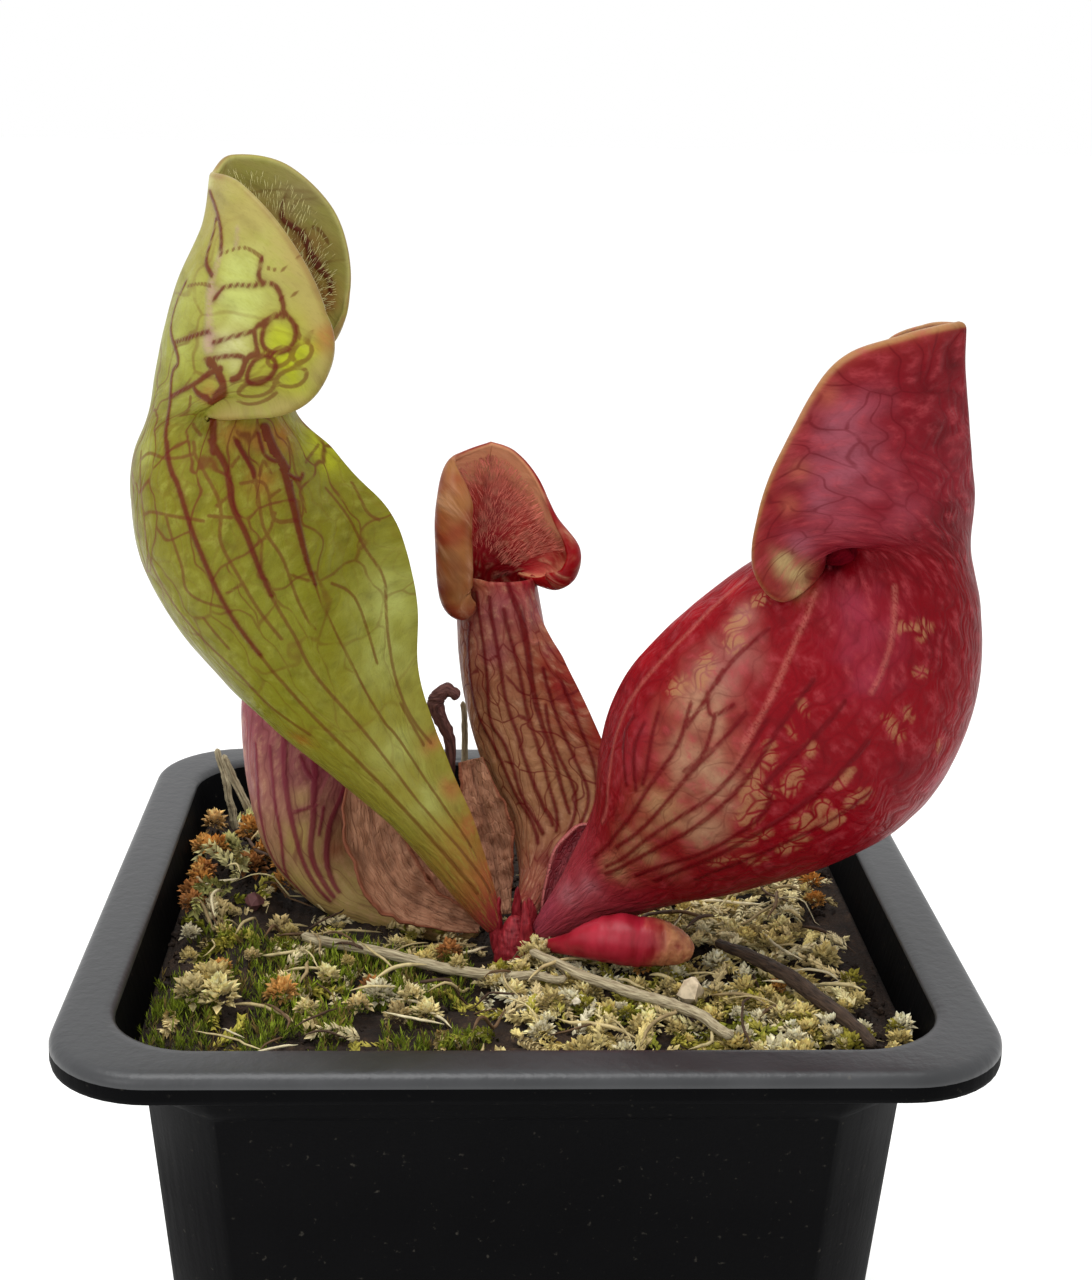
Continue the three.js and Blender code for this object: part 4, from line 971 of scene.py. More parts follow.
# Lines on the green leaf: width in millimetres at both ends, then places as (rise, turn).
GREEN_LINES = {
    "vein": [
        (0.3, 0.3, [(1.54, 0.475), (1.38, 0.475), (1.31, 0.435), (1.23, 0.43), (1.02, 0.365), (0.91, 0.33)]),
        (0.1, 0.1, [(1.92, 0.495), (1.79, 0.465), (1.72, 0.455)]),
        (0.22, 0.22, [(1.81, 0.475), (1.66, 0.465), (1.63, 0.45)]),
        (0.22, 0.22, [(1.34, 0.455), (1.41, 0.435), (1.49, 0.42)]),
        (0.15, 0.35, [(1.85, 0.425), (1.79, 0.42), (1.8, 0.415)]),
        (0.3, 0.2, [(1.58, 0.435), (1.64, 0.435), (1.74, 0.42), (1.83, 0.41), (1.84, 0.4), (1.81, 0.39)]),
        (0.25, 0.3, [(1.81, 0.39), (1.75, 0.395), (1.66, 0.395), (1.63, 0.375)]),
        (0.22, 0.22, [(1.48, 0.41), (1.59, 0.4), (1.66, 0.395)]),
        (0.22, 0.22, [(1.41, 0.405), (1.54, 0.385), (1.57, 0.375)]),
        (0.45, 0.45, [(1.63, 0.375), (1.57, 0.375), (1.5, 0.355), (1.46, 0.355)]),
        (0.25, 0.25, ring(1.755, 0.38, 0.09, 0.015)),
        (0.3, 0.3, ring(1.628, 0.348, 0.08, 0.022)),
        (0.25, 0.6, [(1.29, 0.39), (1.28, 0.37), (1.29, 0.315)]),
        (0.6, 0.5, [(0.99, 0.24), (0.9, 0.235)]),
        (0.2, 0.6, [(1.17, 0.41), (1.29, 0.395), (1.39, 0.39), (1.44, 0.385)]),
        (0.9, 0.5, [(1.42, 0.4), (1.42, 0.38), (1.38, 0.33), (1.32, 0.305)]),
        (0.4, 0.3, [(0.93, 0.335), (0.86, 0.315), (0.82, 0.3), (0.72, 0.285), (0.63, 0.275), (0.51, 0.26)]),
        (0.5, 0.3, [(0.93, 0.24), (0.86, 0.215), (0.78, 0.215), (0.71, 0.205), (0.65, 0.2), (0.59, 0.19)]),
        (1.0, 1.2, [(0.94, 0.13), (0.87, 0.125), (0.83, 0.12)]),
        (1.1, 0.3, [(0.83, 0.12), (0.77, 0.125), (0.66, 0.13), (0.58, 0.125)]),
        (0.26, 0.26, [(0.82, 0.12), (0.8, 0.105), (0.81, 0.095)]),
        (0.4, 0.26, [(0.92, 0.19), (0.85, 0.17), (0.83, 0.17)]),
        (0.26, 0.26, [(0.93, 0.145), (0.87, 0.14), (0.85, 0.125)]),
        (0.2, 0.6, [(1.91, 0.58), (1.85, 0.58), (1.81, 0.585), (1.83, 0.6), (1.81, 0.615)]),
        (0.8, 0.3, [(1.81, 0.615), (1.84, 0.63), (1.89, 0.64), (1.9, 0.65)]),
    ],
    "thread": [
        (0.2, 0.12, [(0.51, 0.26), (0.35, 0.25), (0.2, 0.22), (0.1, 0.2)]),
        (0.2, 0.12, [(0.59, 0.19), (0.52, 0.18), (0.45, 0.185), (0.33, 0.16), (0.18, 0.13), (0.08, 0.1)]),
        (0.25, 0.12, [(0.58, 0.125), (0.45, 0.12), (0.34, 0.115), (0.3, 0.1), (0.15, 0.06)]),
        (0.2, 0.2, [(0.33, 0.05), (0.275, 0.035)]),
        (0.26, 0.26, ring(1.727, 0.36, 0.065, 0.01)),
        (0.24, 0.24, ring(1.86, 0.358, 0.06, 0.008)),
        (0.24, 0.24, ring(1.84, 0.335, 0.095, 0.01)),
        (0.28, 0.28, ring(1.655, 0.316, 0.118, 0.02)),
        (0.18, 0.18, [(1.53, 0.47), (1.59, 0.45), (1.6, 0.445)]),
        (0.2, 0.2, [(1.7, 0.455), (1.81, 0.44), (1.855, 0.425)]),
        (0.15, 0.15, [(1.83, 0.4), (1.94, 0.395)]),
        (0.2, 0.2, [(1.855, 0.38), (1.86, 0.37), (1.94, 0.37)]),
        (0.12, 0.12, [(1.84, 0.42), (1.93, 0.41), (2.14, 0.41)]),
        (0.24, 0.24, [(1.72, 0.28), (1.83, 0.285), (1.82, 0.315)]),
        (0.15, 0.15, [(1.24, 0.38), (1.02, 0.3), (0.95, 0.265)]),
        (0.18, 0.3, [(0.9, 0.41), (0.78, 0.39), (0.67, 0.39), (0.6, 0.375)]),
        (0.3, 0.2, [(0.6, 0.375), (0.5, 0.335), (0.44, 0.33), (0.39, 0.305)]),
        (0.15, 0.15, [(0.9, 0.27), (0.79, 0.235), (0.7, 0.245), (0.62, 0.23), (0.52, 0.205)]),
        (0.24, 0.1, [(0.93, 0.195), (0.83, 0.17), (0.71, 0.175), (0.63, 0.155), (0.51, 0.14)]),
        (0.22, 0.3, [(0.9, 0.09), (0.83, 0.105), (0.8, 0.105)]),
        (0.3, 0.1, [(0.8, 0.105), (0.72, 0.115)]),
        (0.1, 0.14, [(0.76, 0.065), (0.64, 0.045), (0.54, 0.025), (0.42, 0.04), (0.32, 0.04), (0.27, 0.015)]),
        (0.1, 0.1, [(0.57, 0.105), (0.52, 0.075), (0.4, 0.075)]),
        (0.15, 0.15, [(0.88, 0.405), (0.9, 0.375), (0.89, 0.325), (0.9, 0.275), (0.93, 0.275)]),
        (0.15, 0.15, [(0.76, 0.39), (0.77, 0.36), (0.76, 0.3), (0.75, 0.265)]),
        (0.16, 0.16, [(0.76, 0.33), (0.67, 0.32), (0.62, 0.325), (0.59, 0.275)]),
        (0.15, 0.15, [(0.61, 0.26), (0.62, 0.23)]),
        (0.18, 0.18, [(0.76, 0.255), (0.75, 0.22)]),
        (0.16, 0.16, [(0.78, 0.24), (0.8, 0.215)]),
        (0.2, 0.35, [(0.82, 0.195), (0.81, 0.155), (0.73, 0.155), (0.71, 0.13)]),
        (0.3, 0.2, [(0.86, 0.205), (0.88, 0.19)]),
        (0.2, 0.2, [(0.68, 0.195), (0.7, 0.17), (0.74, 0.15)]),
        (0.2, 0.2, [(0.61, 0.145), (0.59, 0.13)]),
        (0.18, 0.18, [(0.83, 0.16), (0.86, 0.145), (0.83, 0.14)]),
        (0.18, 0.18, [(0.78, 0.15), (0.79, 0.135)]),
        (0.14, 0.14, [(0.76, 0.01), (0.68, 0.02), (0.65, 0.01)]),
        (0.16, 0.16, [(0.86, 0.02), (0.84, 0.065), (0.83, 0.08)]),
        (0.12, 0.12, [(0.68, 0.395), (0.65, 0.425)]),
        (0.12, 0.12, [(0.58, 0.32), (0.53, 0.31)]),
        (0.16, 0.16, [(1.84, 0.6), (1.9, 0.605), (1.93, 0.62)]),
        (0.16, 0.16, [(1.84, 0.63), (1.95, 0.63)]),
    ],
    # keel here is painted highlight: a pale mauve sheen along the hood's main ridge.
    "keel": [
        (0.5, 1.1, [(1.73, 0.455), (1.6, 0.445), (1.49, 0.42), (1.45, 0.41)]),
        (0.3, 0.3, [(1.85, 0.45), (1.78, 0.445)]),
    ],
}

# Soft zones of colour: tint, strength, 1 for the lining, then (rise, turn, radius in millimetres).
GREEN_ZONES = [
    # Painted highlight: the first two zones are pale glossy patches on the hood and its tip, the third a
    # mauve sheen along the hood's main vein.
    ((176, 184, 104), 0.75, 0, [(1.75, 0.435, 2.5), (1.67, 0.415, 3)]),
    ((196, 194, 142), 0.65, 0, [(1.55, 0.395, 2.1), (1.97, 0.5, 0.9)]),
    ((176, 140, 132), 0.55, 0, [(1.6, 0.44, 0.8), (1.48, 0.415, 0.9)]),
    ((160, 150, 85), 0.6, 0, [(1.93, 0.445, 2.9), (0.92, 0, 0.9), (2.28, 0.465, 1.6)]),
    ((160, 166, 22), 0.85, 0, [(1.75, 0.38, 2), (1.85, 0.36, 1.4), (1.73, 0.36, 1.4), (1.85, 0.335, 1.6)]),
    ((168, 172, 34), 0.75, 0, [(0.87, 0.015, 1.8), (0.82, 0.02, 1.6)]),
    ((140, 138, 34), 0.75, 0, [(1.62, 0.35, 1.5), (1.67, 0.31, 1.4)]),
    ((165, 172, 87), 0.55, 0, [(1.49, 0.46, 2.3), (1.35, 0.44, 1.7), (0.9, 0.395, 1.4)]),
    ((146, 96, 38), 0.65, 0, [(1.31, 0.345, 1.1), (0.95, 0.195, 1.8), (0.82, 0.155, 1.8)]),
    ((146, 96, 38), 0.65, 0, [(0.91, 0.145, 1.6)]),
    ((150, 80, 32), 0.65, 0, [(0.9, 0.1, 1.4), (0.39, 0.345, 1.1), (2.08, 0.365, 1.4)]),
    ((130, 132, 35), 0.5, 0, [(0.57, 0.145, 4.6)]),
    ((171, 176, 97), 0.65, 0, [(0.49, 0.03, 3.4), (0.4, 0.07, 3.4), (0.3, 0.115, 2.9), (0.23, 0.115, 2.3)]),
    ((165, 90, 54), 0.7, 0, [(0.27, 0.015, 1.1), (0.22, 0.02, 1.1), (0.17, 0.02, 1.1), (0.1, 0.005, 1.4)]),
    ((150, 45, 55), 0.9, 0, [(0.03, 0.99, 1.4)]),
    ((165, 152, 100), 0.7, 1, [(1.95, 0.585, 2.5)]),
    ((150, 98, 56), 0.75, 1, [(1.85, 0.615, 1.6), (1.91, 0.655, 1.6)]),
]
green = pitcher(GREEN, 230, 110, 30, 0.22)
tone = paint(
    green, GREEN,
    [(0, (140, 32, 44), 0), (0.05, (150, 56, 50), 0), (0.12, (148, 98, 48), 0), (0.22, (138, 128, 46), 0.1),
     (0.45, (122, 120, 30), 0.3), (0.6, (118, 114, 26), 0.6), (0.8, (112, 106, 22), 0.85),
     (1.0, (116, 110, 28), 0.9), (1.3, (134, 134, 48), 0.5), (1.7, (142, 134, 56), 0.25),
     (1.97, (156, 142, 78), 0), (2.3, (140, 116, 66), 0)],
    [(0, (150, 150, 70), 0), (1, (150, 130, 60), 0.3), (1.3, (148, 82, 34), 0.6), (1.7, (146, 108, 50), 0.6),
     (1.9, (146, 138, 66), 0.3), (2.3, (176, 170, 100), 0)],
    GREEN_ZONES,
)
green_finish = leaf_finish(
    "green_leaf", vein=tint(88, 12, 8), thread=tint(98, 52, 18), patch=tint(196, 200, 120),
    fleck=tint(148, 148, 62), keel=tint(172, 134, 130), cells=3.4, stretch=0.42, Specular_IOR_Level=0.12,
)
stand("green_pitcher", "pitcher_green", GREEN, green, green_finish, 56, tone, GREEN_LINES)


# Red pitcher. The largest leaf, leaning out to the right with its broad back to the viewer: deep
# crimson and waxy, with paler blotches between its veins and a hood rolled in along its edge.
RED = {
    "foot": (0.8, -7.6),
    "azimuth": -14,
    "stations": [
        (1.8, 0, -3.4, 0.8, 0, -2.0, 0.9, 0.3),
        (9.1, 0, -0.3, 4.7, -0.6, 5.8, 3.0, 1.0),
        (16.5, 0, 3.3, 7.5, -1.6, 12.1, 5.3, 1.2),
        (24.0, 0, 6.0, 8.5, -2.8, 19.6, 7.9, 1.4),
        (31.5, 0, 9.4, 10.4, -3.5, 26.3, 9.8, 1.4),
        (38.4, 0, 14.1, 14.2, -3.5, 32.0, 10.8, 1.2),
        (42.9, 0, 20.8, 18.5, -3.0, 36.6, 10.8, 1.0),
        (44.9, 0, 28.9, 22.5, -2.2, 39.9, 9.8, 0.8),
        (44.5, 0, 36.8, 25.2, -1.2, 41.9, 8.7, 0.6),
        (42.9, 0, 42.5, 27.0, -0.4, 42.9, 7.7, 0.4),
    ],
    "notch": 3,
    "ridge": [(43.1, 0, 47.6), (42.2, 0, 53.5), (41.4, 0, 59.4), (41.2, 0, 63.8)],
    "left": [
        (41.2, 0, 63.8), (37.8, 4.1, 63.0), (34.3, 7.7, 60.8), (31.3, 10.0, 55.1),
        (29.6, 10.6, 48.0), (30.1, 9.8, 43.5), (31.5, 7.5, 42.5),
    ],
    "right": [
        (41.2, 0, 63.8), (36.1, -4.9, 62.8), (30.5, -8.4, 60.6), (27.0, -10.4, 54.7),
        (24.4, -11.0, 47.8), (24.0, -10.8, 42.3), (26.6, -10.0, 39.3), (30.5, -8.1, 41.7),
    ],
    "swell": 2.0,
    "lift": 1.6,
    "curl": {"left": ((0, 40, 0.6), (0.3, 60, 0.7), (1, 30, 0.6)),
             "right": ((0, 60, 0.6), (0.2, 90, 0.7), (0.6, 100, 0.7), (0.75, 190, 0.9), (0.93, 200, 0.9),
                       (1, 30, 0.6))},
    "dents": ((1.02, 0.838, 2.0, 1.5), (0.995, 0.75, 2.2, 0.35), (0.995, 0.7, 2.2, 0.3)),
}
RED_LINES = {
    # keel here is painted highlight: thin paler lines where light catches the wing's raised ridges.
    "keel": [
        (0.2, 0.2, [(0.75, 0.955), (0.62, 0.945), (0.45, 0.94)]),
        (0.2, 0.2, [(0.45, 0.94), (0.37, 0.925), (0.29, 0.895), (0.25, 0.9)]),
        (0.14, 0.14, [(0.82, 0.845), (0.69, 0.825), (0.57, 0.8), (0.51, 0.785)]),
        (0.12, 0.12, [(0.72, 0.83), (0.62, 0.81), (0.55, 0.8)]),
        (0.1, 0.1, [(0.9, 0.735), (0.77, 0.73), (0.72, 0.73)]),
    ],
    "vein": [
        (0.26, 0.26, [(0.54, 0.87), (0.47, 0.845), (0.38, 0.84), (0.32, 0.84), (0.25, 0.855), (0.19, 0.87)]),
        (0.22, 0.22, [(0.61, 0.87), (0.55, 0.86), (0.51, 0.855)]),
        (0.22, 0.22, [(0.71, 0.865), (0.64, 0.87), (0.59, 0.865)]),
        (0.2, 0.2, [(0.59, 0.82), (0.49, 0.815), (0.38, 0.81), (0.31, 0.815), (0.25, 0.835)]),
        (0.18, 0.18, [(0.6, 0.8), (0.48, 0.78), (0.4, 0.785), (0.26, 0.805), (0.2, 0.825)]),
        (0.26, 0.26, [(0.69, 0.79), (0.6, 0.785), (0.48, 0.765), (0.38, 0.765), (0.27, 0.785), (0.19, 0.81)]),
        (0.3, 0.3, [(0.69, 0.75), (0.54, 0.755), (0.51, 0.735), (0.46, 0.725), (0.36, 0.73), (0.24, 0.76)]),
        (0.34, 0.34, [(0.66, 0.705), (0.52, 0.71), (0.38, 0.715), (0.26, 0.725)]),
        (0.24, 0.24, [(0.6, 0.665), (0.47, 0.68), (0.37, 0.69), (0.32, 0.69)]),
        (0.16, 0.16, [(0.45, 0.915), (0.41, 0.91), (0.36, 0.87)]),
        (0.16, 0.16, [(0.46, 0.895), (0.42, 0.885), (0.37, 0.855)]),
        (0.16, 0.16, [(0.49, 0.89), (0.42, 0.86), (0.39, 0.85)]),
        (0.15, 0.15, [(0.55, 0.84), (0.5, 0.82), (0.46, 0.82)]),
        (0.15, 0.15, [(0.57, 0.865), (0.55, 0.845), (0.585, 0.835)]),
    ],
    "spot": [
        (1.8, 1.2, [(0.54, 0.735), (0.57, 0.74)]),
        (2.0, 1.6, [(0.51, 0.69), (0.55, 0.695)]),
        (1.8, 2.1, [(0.53, 0.67), (0.545, 0.67)]),
        (1.8, 2.1, [(0.575, 0.67), (0.59, 0.67)]),
        (1.6, 1.8, [(0.46, 0.67), (0.485, 0.67)]),
        (1.6, 1.0, [(0.555, 0.77), (0.575, 0.78)]),
        (2.4, 1.4, [(0.5, 0.755), (0.53, 0.77)]),
        (2.4, 1.2, [(0.47, 0.735), (0.52, 0.745)]),
        (1.9, 1.9, [(0.65, 0.885), (0.655, 0.88)]),
        (1.9, 1.7, [(0.6, 0.89), (0.57, 0.88)]),
        (1.8, 1.8, [(0.545, 0.895), (0.535, 0.895)]),
        (1.9, 1.7, [(0.69, 0.9), (0.67, 0.9)]),
        (1.7, 1.3, [(0.74, 0.9), (0.725, 0.905)]),
        (1.0, 0.8, [(0.685, 0.675), (0.7, 0.7)]),
        (0.9, 0.9, [(0.72, 0.68), (0.715, 0.675)]),
        (0.6, 0.5, [(0.78, 0.675), (0.775, 0.69)]),
        (1.0, 0.8, [(0.83, 0.72), (0.845, 0.68)]),
        (0.8, 1.0, [(0.85, 0.69), (0.83, 0.69)]),
        (1.0, 1.0, [(0.61, 0.7), (0.585, 0.7)]),
        (0.9, 0.8, [(0.615, 0.75), (0.6, 0.745)]),
        (0.5, 0.4, [(0.7, 0.615), (0.69, 0.61)]),
        (0.8, 0.6, [(0.65, 0.785), (0.64, 0.775)]),
        (0.8, 0.8, [(0.62, 0.78), (0.61, 0.77)]),
        (1.2, 1.0, [(0.42, 0.715), (0.44, 0.71), (0.47, 0.705)]),
        (1.0, 0.8, [(0.37, 0.705), (0.4, 0.695), (0.42, 0.685)]),
        (0.6, 0.8, [(0.43, 0.67), (0.41, 0.675)]),
    ],
}
RED_ZONES = [
    # Painted highlight: the first two zones are the mauve sheen that the hood's back catches from the sky
    # light.
    ((142, 74, 86), 0.8, 0, [(1.8, 0.62, 2.5), (1.69, 0.65, 3.2), (1.68, 0.685, 1.6), (1.68, 0.745, 1.4)]),
    ((134, 54, 65), 0.65, 0, [(1.51, 0.685, 2.5), (1.78, 0.59, 1.8), (1.33, 0.63, 2.1), (1.51, 0.615, 1.4)]),
    ((78, 1, 8), 0.7, 0, [(1.57, 0.545, 1.8), (1.74, 0.545, 1.6), (1.19, 0.57, 2.3), (1.84, 0.52, 1.4)]),
    ((152, 76, 58), 0.7, 0, [(1.89, 0.67, 1), (1.84, 0.695, 1), (1.97, 0.62, 1)]),
    # Painted shade: the dark pit of the dimple at the notch.
    ((45, 0, 5), 0.95, 0, [(0.91, 0.84, 1.5)]),
    ((100, 4, 15), 0.65, 0, [(0.92, 0.76, 1.8), (0.93, 0.69, 2.3), (0.83, 0.675, 3.4), (0.65, 0.645, 2.8)]),
    ((136, 42, 58), 0.7, 0, [(0.84, 0.79, 1.8), (0.79, 0.76, 3), (0.73, 0.74, 2.1), (0.65, 0.57, 1.6)]),
    ((148, 6, 20), 0.8, 0, [(0.53, 0, 2.9), (0.63, 0.99, 2.9), (0.72, 0.96, 1.6)]),
    ((152, 100, 90), 0.75, 0, [(0.65, 0.875, 2.1), (0.59, 0.87, 2.8), (0.7, 0.9, 1.4)]),
    ((162, 122, 94), 0.83, 0, [(0.54, 0.855, 2.8), (0.48, 0.825, 3), (0.48, 0.785, 2.5), (0.41, 0.755, 2.3)]),
    ((165, 125, 88), 0.83, 0, [(0.38, 0.81, 2.5), (0.29, 0.795, 2.1), (0.22, 0.805, 1.6)]),
    ((150, 90, 70), 0.7, 0, [(0.3, 0.73, 1.6)]),
    ((141, 40, 48), 0.65, 0, [(0.39, 0.88, 1.6), (0.45, 0.895, 1.4)]),
    ((168, 98, 105), 0.8, 0, [(0.14, 0.81, 1.4), (0.09, 0.845, 1.4)]),
    ((150, 60, 75), 0.8, 0, [(0.05, 0.935, 1.4)]),
    ((120, 7, 19), 0.7, 0, [(0.4, 0.68, 1.8), (0.51, 0.665, 2.1)]),
    ((162, 138, 92), 0.9, 0, [(1.8, 0.785, 1.4), (1.81, 0.76, 1), (1.97, 0.81, 1)]),
]
red = pitcher(RED, 230, 90, 30, 0.22)
tone = paint(
    red, RED,
    [(0, (150, 60, 75), 0), (0.1, (150, 50, 60), 0.3), (0.25, (122, 12, 22), 0.35), (0.7, (118, 4, 16), 0.2),
     (1.0, (100, 3, 12), 0.2), (1.3, (112, 18, 30), 0.35), (1.85, (108, 12, 22), 0.5),
     (1.97, (116, 24, 28), 0.6), (2.04, (124, 44, 36), 0.3), (2.12, (150, 104, 64), 0.1),
     (2.3, (165, 124, 84), 0)],
    [(0, (120, 20, 30), 0), (1.0, (110, 12, 20), 0.3), (1.6, (130, 40, 40), 0.3), (1.9, (150, 84, 60), 0.2),
     (2.3, (160, 110, 80), 0)],
    RED_ZONES,
)
red_finish = leaf_finish(
    "red_leaf", vein=tint(92, 4, 12), thread=tint(84, 4, 14), patch=tint(160, 116, 78),
    fleck=tint(160, 60, 66), keel=tint(200, 120, 104), cells=2.0, stretch=0.4, Specular_IOR_Level=0.07,
)
stand("red_pitcher", "pitcher_red", RED, red, red_finish, 64, tone, RED_LINES)


# Middle pitcher. A younger, slimmer leaf that stands upright at the back with its mouth towards
# the viewer, so the bristly lining of its hood shows above the pale lip.
MIDDLE = {
    "foot": (-0.7, -5.7),
    "azimuth": 90,
    "stations": [
        (1.8, -0.8, -3.2, 0.6, -1.0, -2.2, 0.9, 0.3),
        (8.0, -1.4, -0.7, 5.7, -3.9, 1.3, 1.6, 1.0),
        (12.4, -0.2, 4.7, 9.0, -5.7, 5.8, 3.0, 4.1),
        (15.0, 2.8, 10.8, 10.8, -5.5, 11.2, 3.9, 5.7),
        (16.4, 4.5, 17.1, 12.0, -3.7, 17.6, 4.3, 5.1),
        (16.7, 5.5, 23.5, 12.2, -3.0, 23.6, 4.3, 2.6),
        (17.1, 5.7, 28.5, 12.4, -2.2, 28.3, 4.2, 1.2),
        (17.3, 5.5, 32.2, 13.0, -1.4, 32.2, 4.1, 0.4),
    ],
    "notch": 4,
    "ridge": [(18.9, 4.5, 36.8), (19.3, 3.5, 41.7), (19.0, 3.2, 44.4), (18.4, 2.9, 46.3)],
    "left": [
        (18.4, 2.9, 46.3), (15.4, 7.3, 44.8), (11.9, 8.5, 40.7), (10.9, 8.5, 35.8),
        (11.4, 8.1, 31.8), (12.6, 7.1, 30.9), (14.2, 5.9, 32.2),
    ],
    "right": [
        (18.4, 2.9, 46.3), (18.2, 0.4, 45.4), (17.2, -2.1, 42.8), (15.0, -4.1, 39.1),
        (13.9, -6.5, 36.0), (13.4, -6.1, 33.2), (13.8, -4.1, 31.8), (15.2, -1.6, 32.2),
    ],
    "swell": 0.9,
    "lift": 0.5,
    "curl": {"left": ((0, 0, 0.6), (0.12, 30, 0.8), (0.32, 190, 1.7), (0.8, 200, 1.7), (1, 30, 0.8)),
             "right": ((0, 0, 0.6), (0.35, 20, 0.8), (0.55, 120, 1.1), (0.85, 160, 1.2), (1, 30, 0.8))},
    "dents": ((1.4, 0.42, 1.0, 0.8),),
}
MIDDLE_LINES = {
    "vein": [
        (0.3, 0.7, [(1, 0.12), (0.94, 0.11), (0.88, 0.095), (0.83, 0.095)]),
        (0.7, 0.4, [(0.83, 0.095), (0.7, 0.11), (0.56, 0.11)]),
        (0.4, 0.2, [(0.56, 0.11), (0.42, 0.11), (0.35, 0.1), (0.31, 0.085)]),
        (0.3, 0.26, [(0.84, 0.29), (0.75, 0.315), (0.61, 0.315), (0.49, 0.275), (0.35, 0.25), (0.21, 0.165)]),
        (0.2, 0.26, [(0.96, 0.25), (0.82, 0.245), (0.67, 0.245), (0.56, 0.255), (0.5, 0.23), (0.37, 0.23),
                     (0.3, 0.205), (0.24, 0.145)]),
        (0.2, 0.26, [(0.94, 0.2), (0.8, 0.195), (0.67, 0.19), (0.54, 0.17), (0.47, 0.175), (0.39, 0.165),
                     (0.27, 0.125)]),
        (0.2, 0.2, [(0.9, 0.15), (0.7, 0.135), (0.55, 0.13), (0.39, 0.13), (0.25, 0.11)]),
        (0.22, 0.2, [(0.6, 0.09), (0.48, 0.1), (0.35, 0.07), (0.2, 0.06)]),
        (0.26, 0.2, [(0.7, 0.07), (0.49, 0.065), (0.36, 0.035), (0.2, 0.03)]),
        (0.22, 0.2, [(0.66, 0.02), (0.42, 0.02), (0.25, 0.01)]),
    ],
    # keel here is painted highlight along raised ridges and the lip.
    "keel": [
        (0.18, 0.18, [(0.97, 0.065), (0.88, 0.06), (0.79, 0.085), (0.78, 0.06)]),
        (0.3, 0.3, [(0.98, 0.655), (1.02, 0.705)]),
    ],
}
MIDDLE_ZONES = [
    ((142, 74, 78), 0.75, 0, [(0.89, 0.185, 2.3), (0.76, 0.205, 1.8), (0.87, 0, 1.3), (0.75, 0.03, 0.8)]),
    ((160, 112, 78), 0.75, 0, [(0.57, 0.235, 2.9), (0.38, 0.225, 2.9), (0.44, 0.07, 1.6), (0.24, 0.22, 1.6)]),
    ((132, 8, 14), 0.85, 0, [(0.68, 0.02, 3.2), (0.58, 0.01, 3.4), (0.48, 0, 2.4), (2.28, 0.755, 1.1)]),
    ((120, 54, 50), 0.5, 0, [(0.65, 0.285, 1.1), (0.47, 0.005, 0.8)]),
    ((100, 20, 26), 0.7, 0, [(0.16, 0.09, 1.1)]),
    ((150, 100, 56), 0.95, 0, [(2.2, 0.44, 2.6), (2.1, 0.4, 3), (2.12, 0.35, 3), (2.15, 0.3, 2.2)]),
    ((130, 84, 50), 0.9, 0, [(2.26, 0.285, 0.9)]),
    ((136, 5, 14), 0.9, 1, [(1.73, 0.69, 1.8), (1.2, 0.6, 1.6), (1.54, 0.635, 1.6)]),
    ((206, 142, 104), 0.9, 1, [(1.76, 0.505, 1.6), (1.83, 0.565, 1.6), (1.68, 0.47, 0.9)]),
    ((152, 60, 56), 0.8, 1, [(2.28, 0.615, 1), (1.39, 0.54, 1.8)]),
]
middle_leaf = pitcher(MIDDLE, 200, 80, 30, 0.14)
tone = paint(
    middle_leaf, MIDDLE,
    [(0, (120, 16, 26), 0), (0.1, (140, 78, 58), 0.6), (0.4, (160, 116, 78), 0.8), (0.75, (146, 86, 62), 0.8),
     (0.92, (136, 62, 60), 0.4), (1.0, (138, 30, 38), 0.3), (1.5, (132, 22, 26), 0.3),
     (2.3, (128, 8, 14), 0)],
    [(0, (130, 30, 34), 0), (1.0, (128, 6, 16), 0), (1.25, (158, 24, 34), 0.1), (1.6, (184, 80, 70), 0.2),
     (1.9, (206, 140, 104), 0), (2.3, (200, 138, 100), 0)],
    MIDDLE_ZONES,
)
middle_finish = leaf_finish(
    "middle_leaf", vein=tint(92, 4, 12), thread=tint(98, 14, 18), patch=tint(150, 116, 78),
    fleck=tint(196, 150, 116), keel=tint(206, 120, 110), cells=1.7, stretch=0.34, Specular_IOR_Level=0.1,
)
stand("middle_pitcher", "pitcher_middle", MIDDLE, middle_leaf, middle_finish, 30, tone, MIDDLE_LINES)


